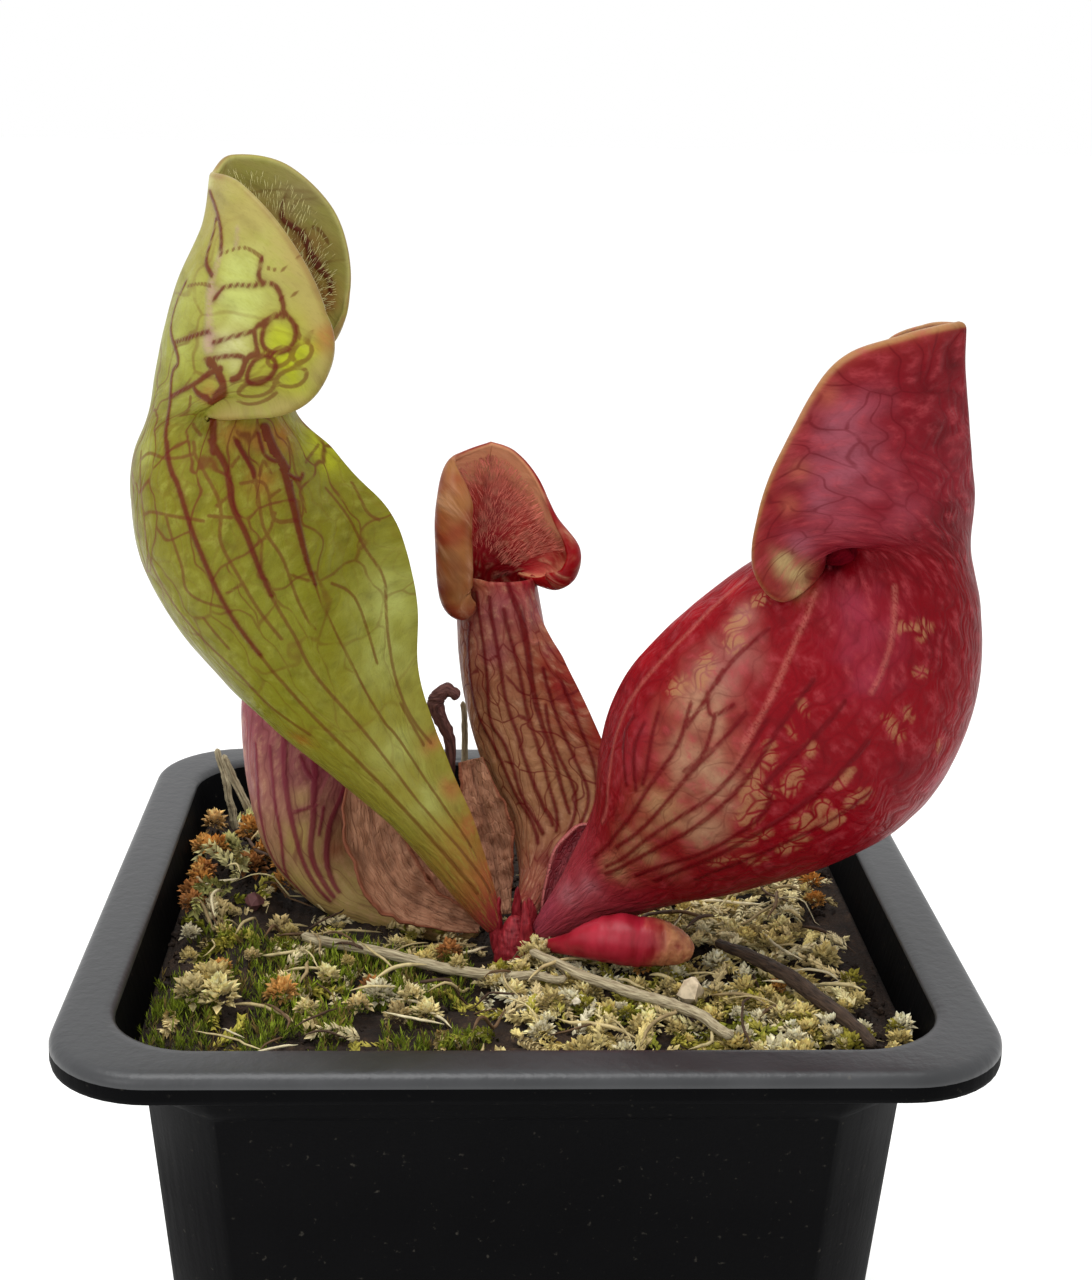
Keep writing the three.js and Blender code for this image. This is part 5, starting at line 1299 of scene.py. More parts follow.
# Old pitcher. A leaf past its best that lies low behind the green one: dull mauve pink, with dark
# veins down it and some green left along its lower side.
OLD = {
    "foot": (-1.6, -2.1),
    "azimuth": 157,
    "stations": [
        (4, 0, -7.8, 3.4, 0, -6, 1, 0.3),
        (12, 0, -7.6, 11, 0, -4.1, 2.4, 0.5),
        (20.4, 0, -6.2, 16.7, 0, -1.2, 3.6, 0.8),
        (27.1, 0, -1.8, 19, 0, 2.3, 4.6, 1.2),
        (30.6, -0.4, 5.2, 19.8, -0.4, 7.1, 5.2, 1.2),
        (32.2, -1.2, 12.4, 20.8, -1.4, 13.1, 5.2, 1),
        (32.7, -2.4, 18.8, 22.3, -2.6, 18.8, 4.8, 0.7),
        (32.3, -3.6, 24.2, 23.9, -3.8, 23.9, 4.2, 0.4),
    ],
    "notch": 5,
    "ridge": [(33.0, -3.5, 27.9), (33.2, -3.5, 31.5), (32.6, -3.5, 34.3), (31.4, -3.5, 35.9)],
    "left": [
        (31.4, -3.5, 35.9), (29.0, -1.2, 35.5), (23.6, 0.8, 31.9), (22, 1.4, 27.9), (24.1, 1, 25.1),
        (28, 0, 24.2),
    ],
    "right": [
        (31.4, -3.5, 35.9), (28.9, -6.0, 35.7), (22.6, -7.8, 32.3), (21.8, -8.9, 28.1), (23.9, -8.7, 25.1),
        (28, -7.6, 24.2),
    ],
    "swell": 0.9,
    "lift": 0.4,
    "curl": {side: ((0, 0, 0.6), (0.5, 90, 0.8), (1, 20, 0.6)) for side in ("left", "right")},
    "dents": (),
}
OLD_LINES = {
    "vein": [
        (0.4, 0.5, [(0.76, 0.21), (0.73, 0.21), (0.66, 0.215)]),
        (0.5, 0.24, [(0.66, 0.215), (0.55, 0.21), (0.45, 0.215), (0.31, 0.255)]),
        (0.6, 0.6, [(0.7, 0.125), (0.66, 0.125)]),
        (0.6, 0.3, [(0.66, 0.125), (0.54, 0.145), (0.46, 0.175), (0.37, 0.2), (0.31, 0.225)]),
        (0.4, 0.6, [(0.62, 0.01), (0.54, 0.085), (0.5, 0.105)]),
        (0.6, 0.26, [(0.5, 0.105), (0.4, 0.145), (0.31, 0.19)]),
        (0.34, 0.34, [(0.72, 0.31), (0.61, 0.32), (0.47, 0.35), (0.43, 0.34), (0.36, 0.34)]),
        (0.24, 0.24, [(0.72, 0.255), (0.59, 0.255), (0.49, 0.27), (0.4, 0.345)]),
        (0.22, 0.22, [(0.57, 0.205), (0.58, 0.13)]),
        (0.26, 0.26, [(0.7, 0.165), (0.66, 0.145), (0.64, 0.125)]),
        (0.24, 0.24, [(0.5, 0.135), (0.57, 0.11)]),
    ],
    # keel here is painted highlight along the wing's raised ridge.
    "keel": [(0.3, 0.3, [(0.55, 0), (0.41, 0.02), (0.27, 0.045), (0.15, 0.105)])],
}
OLD_ZONES = [
    ((134, 56, 72), 0.7, 0, [(0.67, 0.095, 2.5), (0.75, 0.13, 1.6), (0.6, 0.02, 1.6), (0.75, 0.33, 0.9)]),
    ((176, 156, 84), 0.7, 0, [(0.5, 0.19, 2.2), (0.37, 0.215, 1.9), (0.4, 0.335, 1.5), (0.6, 0.18, 1.1)]),
    ((160, 108, 90), 0.6, 0, [(0.64, 0.29, 1.5), (0.6, 0.205, 1.6)]),
    ((134, 58, 48), 0.6, 0, [(0.43, 0.1, 1.4), (0.66, 0.335, 0.8)]),
]
old = pitcher(OLD, 170, 60, 60, 0.3)
tone = paint(
    old, OLD,
    [(0, (150, 122, 72), 0), (0.3, (166, 142, 86), 0.4), (0.48, (160, 122, 88), 0.5),
     (0.62, (146, 88, 82), 0.5), (0.8, (134, 66, 74), 0.5), (1.0, (124, 54, 60), 0.4),
     (2.3, (126, 60, 58), 0.2)],
    [(0, (110, 50, 50), 0), (2.3, (130, 70, 60), 0.2)],
    OLD_ZONES,
)
old_finish = leaf_finish(
    "old_leaf", vein=tint(116, 36, 52), thread=tint(110, 50, 50), patch=tint(150, 140, 90),
    fleck=tint(196, 150, 116), keel=tint(196, 130, 110), cells=2.2, stretch=0.09, Specular_IOR_Level=0.1,
)
stand("old_pitcher", "pitcher_old", OLD, old, old_finish, 34, tone, OLD_LINES)


# Dried and maroon leaves. Dead papery leaves, brown and crumpled, stand round the crown as open
# troughs with waved edges; one small folded leaf beside it is still dark and waxy.

# Points up a leaf's middle with half its width there, the way it faces, how far it is cupped, how
# far its edges wave and where their wave starts.
TROUGHS = {
    "dried_leaf_left": (
        [(-4.4, -3.6, -3.8, 0.9), (-8.4, -3.4, -2.6, 1.9), (-12.8, -2.4, -0.6, 3.0), (-15.4, -0.8, 3.0, 3.4),
         (-16.6, 1.0, 7.6, 3.0), (-16.8, 3.2, 12.4, 2.0)], (0.15, -1, 0.35), 0.5, 0.5, 0.4),
    "dried_leaf_inner": (
        [(-4.4, -1.2, -4.0, 0.8), (-6.6, -1.0, -1.6, 1.7), (-8.8, 0.6, 1.8, 2.6), (-11.0, 2.6, 6.2, 2.6),
         (-12.6, 4.0, 11.0, 1.6)], (0.25, -1, 0.25), 0.45, 0.45, 2.1),
    "dried_leaf_back": (
        [(-1.8, -1.0, -3.8, 0.8), (-2.5, 0.9, 0.2, 1.7), (-3.2, 2.4, 4.2, 2.4), (-4.6, 3.2, 8.6, 2.3),
         (-5.6, 4.8, 12.4, 1.3)], (0.1, -1, 0.3), 0.4, 0.5, 4.0),
    "maroon_leaf": (
        [(3.1, -5.2, -3.4, 0.7), (3.9, -3.9, 0.4, 1.2), (5.6, -2.8, 3.9, 1.6), (7.2, -2.3, 6.0, 1.4),
         (8.2, -1.9, 7.2, 0.5)], (-0.5, -0.8, 0.5), 0.8, 0.1, 0),
}


def trough(rows, facing, cup, wave, phase, crumple, thickness, steps=90, wide=48):
    """An open leaf, its edges raised and waved, crumpled finely and closed all round."""
    face = unit(np.array(facing, float))
    t = np.linspace(0, 1, steps + 1)
    row = along(rows, t)
    forward = unit(along(rows, t + 0.06)[:, :3] - along(rows, t - 0.06)[:, :3])
    side = unit(np.cross(forward, face))
    c = np.linspace(-1, 1, wide + 1)[None, :]
    half = row[:, 3:4] * (1 + 0.05 * np.sin(17 * t + phase)[:, None] * np.abs(c) ** 3)
    lift = cup * half * c * c + wave * c ** 3 * np.sin(phase + 7.5 * t)[:, None]
    points = row[:, None, :3] + side[:, None] * (half * c)[..., None] + face * lift[..., None]
    x, y, z = points.reshape(-1, 3).T
    folds = value_noise(x * 1.6, y * 1.6, z * 0.6, 1.6, 8) + 0.6 * value_noise(x, y, z, 0.8, 9) - 0.8
    grid = np.arange((steps + 1) * (wide + 1)).reshape(steps + 1, wide + 1)
    quads = np.stack([grid[:-1, :-1], grid[:-1, 1:], grid[1:, 1:], grid[1:, :-1]], -1).reshape(-1, 4)
    flat = points.reshape(-1, 3)
    normals = point_normals(flat, [quads])
    flat = flat + normals * (crumple * folds)[:, None]
    border = np.concatenate([grid[0, :-1], grid[:-1, -1], grid[-1, :0:-1], grid[:0:-1, 0]])
    after = np.roll(border, -1)
    shift = len(flat)
    walls = np.stack([after, border, border + shift, after + shift], 1)
    both = np.concatenate([flat + normals * thickness / 2, flat - normals * thickness / 2])
    run = np.stack([(half * c).ravel(), np.repeat(t * 20, wide + 1), np.zeros(shift)], 1)
    edge = np.tile(np.abs(c), steps + 1).ravel()
    marks = {"run": np.tile(run, (2, 1)), "fold": np.tile(folds, 2), "edge": np.tile(edge, 2)}
    return both, [np.concatenate([quads, quads[:, ::-1] + shift, walls])], marks


def paper(name, dark, light, vein, rim, roughness, plain_net, **fixed):
    """Dead or waxy leaf skin: mottled, with fine veins along it, painted shade in the hollows of its crumples
    and a rolled rim.
    """
    finish, shader, start = new_finish(name, **fixed)
    place = start.mark("run", "Vector")
    cloud = place.noise(0.45, 5.0)
    streak = place.stretched(5.0, 0.5, 1.0).noise(1.0, 3.0)
    net = place.stretched(1.4, 0.5, 1.0).cells(1.7)
    tone = (cloud * 0.45 + streak * 0.55).ramp((0.34, dark), (0.66, light))
    rib = 1 - (start.mark("edge") + cloud * 0.08).between(0.0, 0.2)
    tone = tone.over(vein, rib * 0.5).over(vein, (1 - net.between(0.0, 0.1)) * plain_net)
    tone = tone.over(vein, streak.between(0.58, 0.75) * 0.35)
    # Painted shade: the hollows of the crumpled surface are darkened towards the vein colour.
    tone = tone.shade(0.4 - start.mark("fold").between(-0.5, 0.4) * 0.4, vein)
    feed(
        shader,
        Base_Color=tone.over(rim, (start.mark("edge") + cloud * 0.1).between(0.93, 1.02) * 0.85),
        Roughness=cloud * 0.2 + roughness,
        Normal=net.between(0.0, 0.15).bump(0.00005, streak.bump(0.0002)),
    )
    return finish


dried_finish = paper(
    "dried_leaf", dark=tint(150, 98, 72), light=tint(204, 152, 120), vein=tint(84, 44, 32),
    rim=tint(132, 72, 50), roughness=0.55, plain_net=0.12, Specular_IOR_Level=0.15,
)
maroon_finish = paper(
    "maroon_leaf", dark=tint(92, 16, 26), light=tint(150, 52, 60), vein=tint(58, 8, 16),
    rim=tint(176, 96, 92), roughness=0.35, plain_net=0.1, Specular_IOR_Level=0.3,
)
for name, (rows, facing, cup, wave, phase) in TROUGHS.items():
    dried = name.startswith("dried")
    crumple, thickness = (0.7, 0.3) if dried else (0.15, 0.5)
    points, faces, marks = trough(rows, facing, cup, wave, phase, crumple, thickness)
    shape(
        name + "_blade", points + (0, 0, RIM_TOP), faces, dried_finish if dried else maroon_finish,
        name, "dried_leaf" if dried else "maroon_leaf", marks,
    )


# Small red leaf, withered tip, stalk, straws and twigs. Slim round pieces that lie on the moss or
# stand in the peat; each tapers, kinks a little and is finished for what it is.

# The finish of each, then points along it with a radius at each one.
RODS = {
    "small_red_leaf": ("red_leaf", [
        (2.6, -10.0, -3.4, 0.7), (4.6, -13.6, -1.6, 1.1), (7.4, -16.0, 0.0, 2.1), (9.6, -16.8, 0.5, 2.6),
        (12.0, -17.0, 0.4, 2.6), (14.4, -17.2, 0.1, 2.3), (16.2, -17.2, -0.4, 1.7),
        (17.4, -17.2, -0.9, 0.7)]),
    "withered_tip": ("dried_leaf", [
        (-8.6, 6.4, -9.0, 0.5), (-8.4, 5.6, 4.0, 0.55), (-7.7, 4.2, 13.6, 0.6), (-8.8, 4.0, 17.2, 0.8),
        (-9.4, 4.0, 19.4, 0.9), (-8.3, 4.0, 20.8, 0.8), (-6.9, 4.0, 20.0, 0.55)]),
    "pale_stalk": ("twig", [(-5.9, 14.2, -9.0, 0.42), (-6.1, 14.1, 4.0, 0.42), (-6.4, 14.0, 16.2, 0.35)]),
    "straw_left": ("twig", [(-34.6, 30.6, -9.0, 0.5), (-35.4, 31.2, -3.0, 0.5), (-37.2, 32.0, 4.2, 0.4)]),
    "straw_right": ("twig", [(-30.6, 24.6, -9.0, 0.55), (-31.8, 24.8, -3.0, 0.55), (-35.6, 25.2, 5.6, 0.4)]),
    "twig_left": ("twig", [
        (-23.7, -8.6, -3.0, 0.5), (-17.1, -12.2, -2.6, 0.6), (-7.6, -16.9, -2.8, 0.55),
        (0.4, -18.8, -2.8, 0.5), (4.4, -19.5, -2.8, 0.4)]),
    "twig_front": ("twig", [
        (0.8, -12.8, -2.6, 0.45), (8.8, -21.6, -2.4, 0.6), (15.2, -26.6, -2.4, 0.6),
        (19.8, -32.6, -2.6, 0.5)]),
    "twig_dark": ("dark_twig", [
        (20.6, -10.6, -2.6, 0.5), (25.2, -17.4, -2.0, 0.75), (29.4, -25.6, -2.0, 0.8),
        (33.0, -34.6, -2.6, 0.6)]),
}

# The end of the red pitcher's lip, tucked under the hood's side lobe at the notch: a dark plug behind the
# dimple there, whose near-black crimson is painted shade.
TUCK = [
    (28.2, -21.2, 41.2, 0.5), (28.8, -21.4, 42.2, 1.3), (29.6, -21.6, 43.0, 1.7), (30.4, -21.8, 43.8, 1.5),
    (31.2, -22.4, 44.6, 0.6),
]


def limb(rows, steps, sides, knots, kink, seed):
    """A slim closed stem through rows of points and radii, a little knotted and kinked."""
    t = np.linspace(0, 1, steps + 1)
    row = along(rows, t)
    forward = unit(np.gradient(row[:, :3], axis=0))
    across = unit(np.cross(np.array([0.31, 0.17, 0.93]), forward))
    up = np.cross(forward, across)
    angle = np.linspace(0, 2 * math.pi, sides, endpoint=False)
    ends = np.sqrt(np.clip(np.minimum(t, 1 - t) * steps / 3, 0.05, 1))
    bumps = value_noise(t[:, None] * 40, np.cos(angle)[None], np.sin(angle)[None], 1.0, seed) - 0.5
    radius = row[:, 3:4] * ends[:, None] * (1 + knots * 2 * bumps)
    sway = kink * (np.stack([value_noise(t * 9, 0, k, 1.0, seed + 1) for k in range(3)], 1) - 0.5)
    ring = across[:, None] * np.cos(angle)[None, :, None] + up[:, None] * np.sin(angle)[None, :, None]
    points = (row[:, None, :3] + sway[:, None] + ring * radius[..., None]).reshape(-1, 3)
    k = np.arange(sides)
    last = steps * sides
    points = np.concatenate([points, row[[0], :3] + sway[[0]], row[[-1], :3] + sway[[-1]]])
    faces = [ring_faces(steps + 1, sides)]
    faces.append(np.stack([(k + 1) % sides, k, np.full(sides, len(points) - 2)], 1))
    faces.append(np.stack([last + k, last + (k + 1) % sides, np.full(sides, len(points) - 1)], 1))
    length = np.linalg.norm(np.diff(row[:, :3], axis=0), axis=1).sum()
    run = np.stack([np.tile(angle, steps + 1), np.repeat(t * length, sides), np.zeros(last + sides)], 1)
    run = np.concatenate([run, run[[0, -1]]])
    return points, faces, {"run": run, "climb": run[:, 1]}


def bark(name, dark, light, roughness, shine=0.25):
    """Dry skin with a grain along the stem."""
    finish, shader, start = new_finish(name, Specular_IOR_Level=shine)
    grain = start.mark("run", "Vector").stretched(3, 0.6, 1).noise(1.0, 4.0)
    feed(
        shader,
        Base_Color=grain.ramp((0.3, dark), (0.7, light)),
        Roughness=grain * 0.2 + roughness,
        Normal=grain.bump(0.00025),
    )
    return finish


small_red_finish, shader, start = new_finish("small_red_leaf", Specular_IOR_Level=0.3)
place = start.mark("run", "Vector")
cloud = place.noise(0.5, 4.0)
wrinkle = place.stretched(0.9, 0.35, 1.0).noise(1.6, 4.0)
withered = (start.mark("climb") + cloud * 5).between(13.5, 17.0)
crimson = cloud.ramp((0.3, tint(122, 4, 20)), (0.72, tint(176, 36, 56)))
browned = wrinkle.ramp((0.3, tint(136, 62, 44)), (0.7, tint(196, 138, 92)))
feed(
    shader,
    Base_Color=crimson.over(browned, withered),
    Roughness=cloud * 0.2 + withered * 0.2 + 0.28,
    Normal=(wrinkle * withered).bump(0.0005, cloud.bump(0.0001)),
)
rod_finishes = {
    "red_leaf": small_red_finish,
    "dried_leaf": bark("withered_leaf", tint(70, 38, 38), tint(120, 80, 72), 0.6),
    "twig": bark("pale_twig", tint(120, 104, 80), tint(196, 184, 150), 0.65),
    "dark_twig": bark("dark_twig", tint(34, 26, 22), tint(84, 66, 52), 0.6),
}
# Painted shade: the tuck is dark and almost without shine so that it reads as the shadowed dimple.
tuck_shade_finish = bark("tucked_lip_shade", tint(64, 0, 8), tint(92, 4, 16), 0.7, 0.02)
points, faces, marks = limb(TUCK, 40, 24, 0.03, 0.05, 19)
shape("red_lip_tuck", points + (0, 0, RIM_TOP), faces, tuck_shade_finish, None, "red_pitcher", marks)
for k, (name, (slot, rows)) in enumerate(RODS.items()):
    sides = 40 if slot == "red_leaf" else 16
    knots = 0.03 if slot == "red_leaf" else 0.12
    points, faces, marks = limb(rows, 90, sides, knots, 0.35 if "twig" in slot else 0.15, 20 + k)
    shape(name + "_stem", points + (0, 0, RIM_TOP), faces, rod_finishes[slot], name, slot, marks)


# Crown. The short dark red stem that all leaves grow from, half buried in the peat, with four
# pointed bracts that grow out of it between the leaves.
CROWN_AT = (-0.7, -7.2)
CROWN_STEM = [(-13, 1.4), (-9, 2.3), (-5.5, 2.2), (-3.6, 1.8), (-2.2, 1.2), (-1.2, 0.5)]
stem = [(*CROWN_AT, z, radius) for z, radius in CROWN_STEM]
points, faces, marks = limb(stem, 60, 40, 0.04, 0.1, 50)
crown_points, crown_faces = [points], [faces]
for k in range(4):
    turn = k * 2.4 + 0.5
    bract = (1.2, -7, 0.6), (2.0, -3.8, 0.8), (2.1, -1.2, 0.6), (1.7, 0.6 + 0.3 * k, 0.15)
    rows = [
        (CROWN_AT[0] + reach * math.cos(turn), CROWN_AT[1] + reach * math.sin(turn), z, radius)
        for reach, z, radius in bract
    ]
    made, sides, _ = limb(rows, 40, 16, 0.03, 0.1, 60 + k)
    crown_points.append(made)
    crown_faces.append(sides)
shifts = np.cumsum([0] + [len(part) for part in crown_points[:-1]])
faces = [np.concatenate([group[k] + shift for group, shift in zip(crown_faces, shifts)]) for k in range(3)]
crown_finish = bark("crown", tint(96, 8, 20), tint(160, 44, 52), 0.35)
points = np.concatenate(crown_points)
shape("crown_bracts", points + (0, 0, RIM_TOP), faces, crown_finish, "crown", "crown", {"run": points})


# Green moss. Short upright stems set with narrow pointed leaves, grown close in the front left
# corner; it is brightest towards the rim and leaves dark gaps where the peat shows.
GOLDEN = 2.39996
WALL_AT, TRAIL_REACH = 37.4, 37.2
GAPS = [
    (36.7, -14.9, 3.6), (36.5, 1.0, 3.4), (36, -26, 2.2), (-36.5, -21, 2.2), (-7.6, -24.3, 1.8),
    (-36, -9, 2.4), (-27.5, 13, 1.8),
]


def leaflets(feet, headings, backs, lengths, widths, cup, colours):
    """Small pointed leaves of five points each, hollow on the side away from their backs."""
    headings = unit(headings)
    sides = unit(np.cross(headings, backs))
    full = headings * lengths[:, None]
    across = sides * widths[:, None] / 2
    front = np.cross(headings, sides) * (cup * widths)[:, None]
    points = np.stack([
        feet, feet + 0.42 * full - across + front, feet + 0.42 * full + across + front,
        feet + 0.5 * full, feet + full + 0.7 * front,
    ], 1)
    # Painted shade and highlight: each leaflet is darkened at its foot and midrib and lightened at its tip.
    depth = np.array([0.5, 0.92, 0.92, 0.8, 1.1])
    tone = np.clip(colours[:, None] * depth[None, :, None], 0, 1)
    first = np.arange(len(feet))[:, None, None] * 5
    faces = first + np.array([(0, 3, 1), (0, 2, 3), (1, 3, 4), (3, 2, 4)])
    tone = np.concatenate([tone, np.ones((*tone.shape[:2], 1))], 2)
    return points.reshape(-1, 3), faces.reshape(-1, 3), tone.reshape(-1, 4)


def lay(name, parts, finish, node, slot, smooth=False):
    """Adds leaves from several calls to the plant as one piece, with the tone that they carry."""
    shifts = np.cumsum([0] + [len(part[0]) for part in parts[:-1]])
    faces = np.concatenate([part[1] + shift for part, shift in zip(parts, shifts)])
    points, tone = (np.concatenate([part[k] for part in parts]) for k in (0, 2))
    shape(name, points, [faces], finish, node, slot, {"tone": tone}, smooth)


def palette(random, tints, count, swing=0.16):
    """One tint for each of many pieces, picked from a few and varied a little."""
    picked = np.array([tint(*each)[:3] for each in tints])[random.integers(0, len(tints), count)]
    return picked * random.uniform(1 - swing, 1 + swing, (count, 1))


def open_ground(x, y):
    """How far a place is from the nearest gap and from the pot's wall, in millimetres."""
    wall = WALL_AT - np.maximum(np.abs(x), np.abs(y))
    gaps = [np.hypot(x - cx, y - cy) - radius for cx, cy, radius in GAPS]
    return np.minimum(wall, np.min(gaps, axis=0))


def scatter(random, count, outline, margin):
    """Random places inside an outline, clear of the gaps."""
    places = random.uniform(-BED_REACH, BED_REACH, (count, 2))
    keep = (within(outline, *places.T) > margin) & (open_ground(*places.T) > 0)
    return places[keep]


def grass(random, places, tall, leaf_count, bright):
    """Upright moss stems, each a spiral of narrow leaves that spread more towards its foot."""
    count = len(places)
    height = tall * random.uniform(0.6, 1.25, count)
    lean = random.normal(0, 0.28, (count, 2))
    share = np.tile(np.linspace(0.1, 1, leaf_count), count)
    stem = np.repeat(np.arange(count), leaf_count)
    axis = unit(np.c_[lean, np.ones(count)])[stem]
    level = RIM_TOP + ground(*places.T) - 0.4
    feet = np.c_[places, level][stem] + axis * (height[stem] * share)[:, None]
    turn = np.arange(len(stem)) * GOLDEN + stem
    out = np.c_[np.cos(turn), np.sin(turn), np.zeros(len(stem))]
    headings = axis * (0.6 + share)[:, None] + out * (0.95 - 0.45 * share)[:, None]
    lengths = random.uniform(0.6, 1.15, len(stem)) * (0.75 + 0.35 * share)
    low, high = (np.array(tint(*each)[:3]) for each in ((62, 76, 14), (186, 206, 62)))
    mix = np.clip(share * (0.3 + 0.7 * bright[stem]) + random.normal(0, 0.1, len(stem)), 0, 1)[:, None]
    dull = np.array(tint(150, 128, 70)[:3])
    worn = (random.random(count) < 0.22)[stem][:, None]
    colours = np.where(worn, dull * (0.5 + mix), low * (1 - mix) + high * mix)
    return leaflets(feet, headings, out, lengths, lengths * 0.17, 0.25, colours)


def trails(random, starts, lengths, bend, lift, arch, steps=12):
    """Paths that creep over the ground from their starting places, sinking at both ends."""
    count = len(starts)
    turn = random.uniform(0, math.tau, count)[:, None] + np.cumsum(random.normal(0, bend, (count, steps)), 1)
    pace = (lengths / (steps - 1))[:, None]
    x = starts[:, :1] + np.cumsum(np.cos(turn) * pace, 1)
    y = starts[:, 1:] + np.cumsum(np.sin(turn) * pace, 1)
    x, y = (np.clip(each, -TRAIL_REACH, TRAIL_REACH) for each in (x, y))
    rise = np.sin(np.linspace(0.15, 0.85, steps) * math.pi)
    z = RIM_TOP + ground(x, y) + lift[:, None] + arch * rise
    paths = np.stack([x, y, z], 2)
    return paths[np.mean(open_ground(x, y) > 0.2, 1) > 0.8]


def strands(random, paths, girth, leaf_count, leaf, tints, spread=0.9):
    """Creeping shoots, each wrapped in overlapping cupped leaves that point along it."""
    count, steps = paths.shape[:2]
    colours = palette(random, tints, count)
    shoot = np.repeat(np.arange(count), leaf_count)
    place = random.random(len(shoot)) * (steps - 1.001)
    k = place.astype(int)
    share = (place - k)[:, None]
    ahead = unit(paths[shoot, k + 1] - paths[shoot, k])
    side = unit(np.cross(ahead, (0, 0, 1)))
    up = np.cross(side, ahead)
    turn = (random.random(len(shoot)) * math.tau)[:, None]
    out = side * np.cos(turn) + up * np.sin(turn)
    taper = (np.sqrt(np.clip(1 - place / (steps - 1), 0.12, 1)) * girth)[:, None]
    feet = paths[shoot, k] * (1 - share) + paths[shoot, k + 1] * share + out * taper * 0.3
    lengths = leaf * random.uniform(0.7, 1.25, len(shoot))
    shade = random.uniform(0.8, 1.15, (len(shoot), 1))
    return leaflets(feet, ahead + out * spread, out, lengths, lengths * 0.55, 0.35, colours[shoot] * shade)


def heads(random, centres, radii, leaf_count, tints, droop=0.25):
    """Rosettes at the tips of sphagnum shoots: small cupped leaves crowded over a half ball."""
    colours = palette(random, tints, len(centres))
    head = np.repeat(np.arange(len(centres)), leaf_count)
    step = np.tile(np.arange(leaf_count), len(centres))
    high = 1 - (1 + droop) * (step + 0.5) / leaf_count
    turn = step * GOLDEN + head
    flat = np.sqrt(1 - high**2)
    out = np.c_[flat * np.cos(turn), flat * np.sin(turn), high]
    out = unit(out + random.normal(0, 0.2, out.shape))
    reach = radii[head][:, None] * random.uniform(0.55, 1.05, (len(head), 1))
    feet = centres[head] + out * reach * 0.55
    lengths = reach[:, 0] * random.uniform(0.38, 0.6, len(head))
    backs = out * 0.3 - np.array([0, 0, 1.0])
    shade = (0.66 + 0.46 * np.clip(high, 0, 1) ** 0.7)[:, None] * random.uniform(0.8, 1.15, (len(head), 1))
    headings = out + random.normal(0, 0.25, out.shape) + (0, 0, 0.15)
    return leaflets(feet, headings, backs, lengths, lengths * 0.72, 0.42, colours[head] * shade)


def tubes(paths, radii, colours, sides=5):
    """Thin stalks along paths, thinning to both ends."""
    count, steps = paths.shape[:2]
    ahead = unit(np.gradient(paths, axis=1))
    side = unit(np.cross(ahead, (0, 0, 1)))
    up = np.cross(side, ahead)
    turn = np.arange(sides) * math.tau / sides
    girth = radii[:, None] * np.clip(np.sin(np.linspace(0.04, 0.96, steps) * math.pi), 0.1, 0.75)[None]
    ring_at = side[:, :, None] * np.cos(turn)[:, None] + up[:, :, None] * np.sin(turn)[:, None]
    points = paths[:, :, None] + ring_at * girth[:, :, None, None]
    one = ring_faces(steps, sides)
    split = np.concatenate([one[:, [0, 1, 2]], one[:, [0, 2, 3]]])
    faces = (np.arange(count)[:, None, None] * steps * sides + split).reshape(-1, 3)
    tone = np.ones((count, steps, sides, 4))
    tone[..., :3] = colours[:, None, None]
    return points.reshape(-1, 3), faces, tone.reshape(-1, 4)


def on_top(places, above):
    """Places raised from the ground by a height."""
    return np.c_[places, RIM_TOP + ground(*places.T) + above]


def greenery(name):
    """Small dull leaves in the tone that each one carries, mottled a little."""
    finish, shader, start = new_finish(name, Specular_IOR_Level=0.2)
    mottle = start.place().noise(900.0, 3.0)
    feed(
        shader,
        Base_Color=start.mark("tone", "Color").shade(mottle.between(0.35, 0.75) * 0.5, tint(96, 74, 44)),
        Roughness=mottle * 0.3 + 0.5,
        Normal=mottle.bump(0.00008),
    )
    return finish


random = np.random.default_rng(21)
moss_finish = greenery("moss")
places = scatter(random, 14500, MOSS_BED, 0.2)
open_patch = value_noise(*places.T, 0, 3.2, 31)
places = places[(open_patch > 0.36) & (places[:, 1] > -37)]
bright = np.exp(-(np.hypot(places[:, 0] + 18, (places[:, 1] + 22) * 0.8) / 7.5) ** 2)
bright = 0.25 + 0.75 * bright + 0.35 * (value_noise(*places.T, 0, 2.2, 32) - 0.5)
moss = grass(random, places, 1.9, 11, np.clip(bright, 0.05, 1))
lay("moss_stems", [moss], moss_finish, "moss_green", "moss")


# Pale sphagnum. Bleached shoots that creep over one another on the right half of the pot, each
# wrapped in small cupped leaves, with crowded cream heads among them and a few olive ones.
CREAM = [(250, 232, 170), (244, 222, 144), (230, 210, 142), (254, 244, 206)]
BEIGE = [(234, 212, 154), (212, 190, 132), (242, 226, 176)]
OLIVE = [(176, 166, 66), (150, 152, 50), (194, 182, 84)]
sphagnum_finish = greenery("sphagnum")
starts = scatter(random, 900, PALE_BED, 0.6)
length = random.uniform(4, 10, len(starts))
paths = trails(random, starts, length, 0.2, random.uniform(-0.2, 1.3, len(starts)), 0.8)
front = paths[:, 6, 1] < -14
parts = [
    strands(random, paths[front], 0.9, 90, 0.8, CREAM + OLIVE + BEIGE),
    strands(random, paths[~front], 1.0, 96, 0.75, BEIGE + CREAM[:2], 0.55),
]
places = scatter(random, 720, PALE_BED, 0.8)
near = places[:, 1] < -12
for each, tints in ((places[near], CREAM + OLIVE[:1] + CREAM), (places[~near][:60], BEIGE + CREAM)):
    parts.append(heads(random, on_top(each, 1.3), random.uniform(0.9, 1.9, len(each)), 80, tints))
lay("pale_sphagnum_shoots", parts, sphagnum_finish, "sphagnum_pale", "sphagnum")

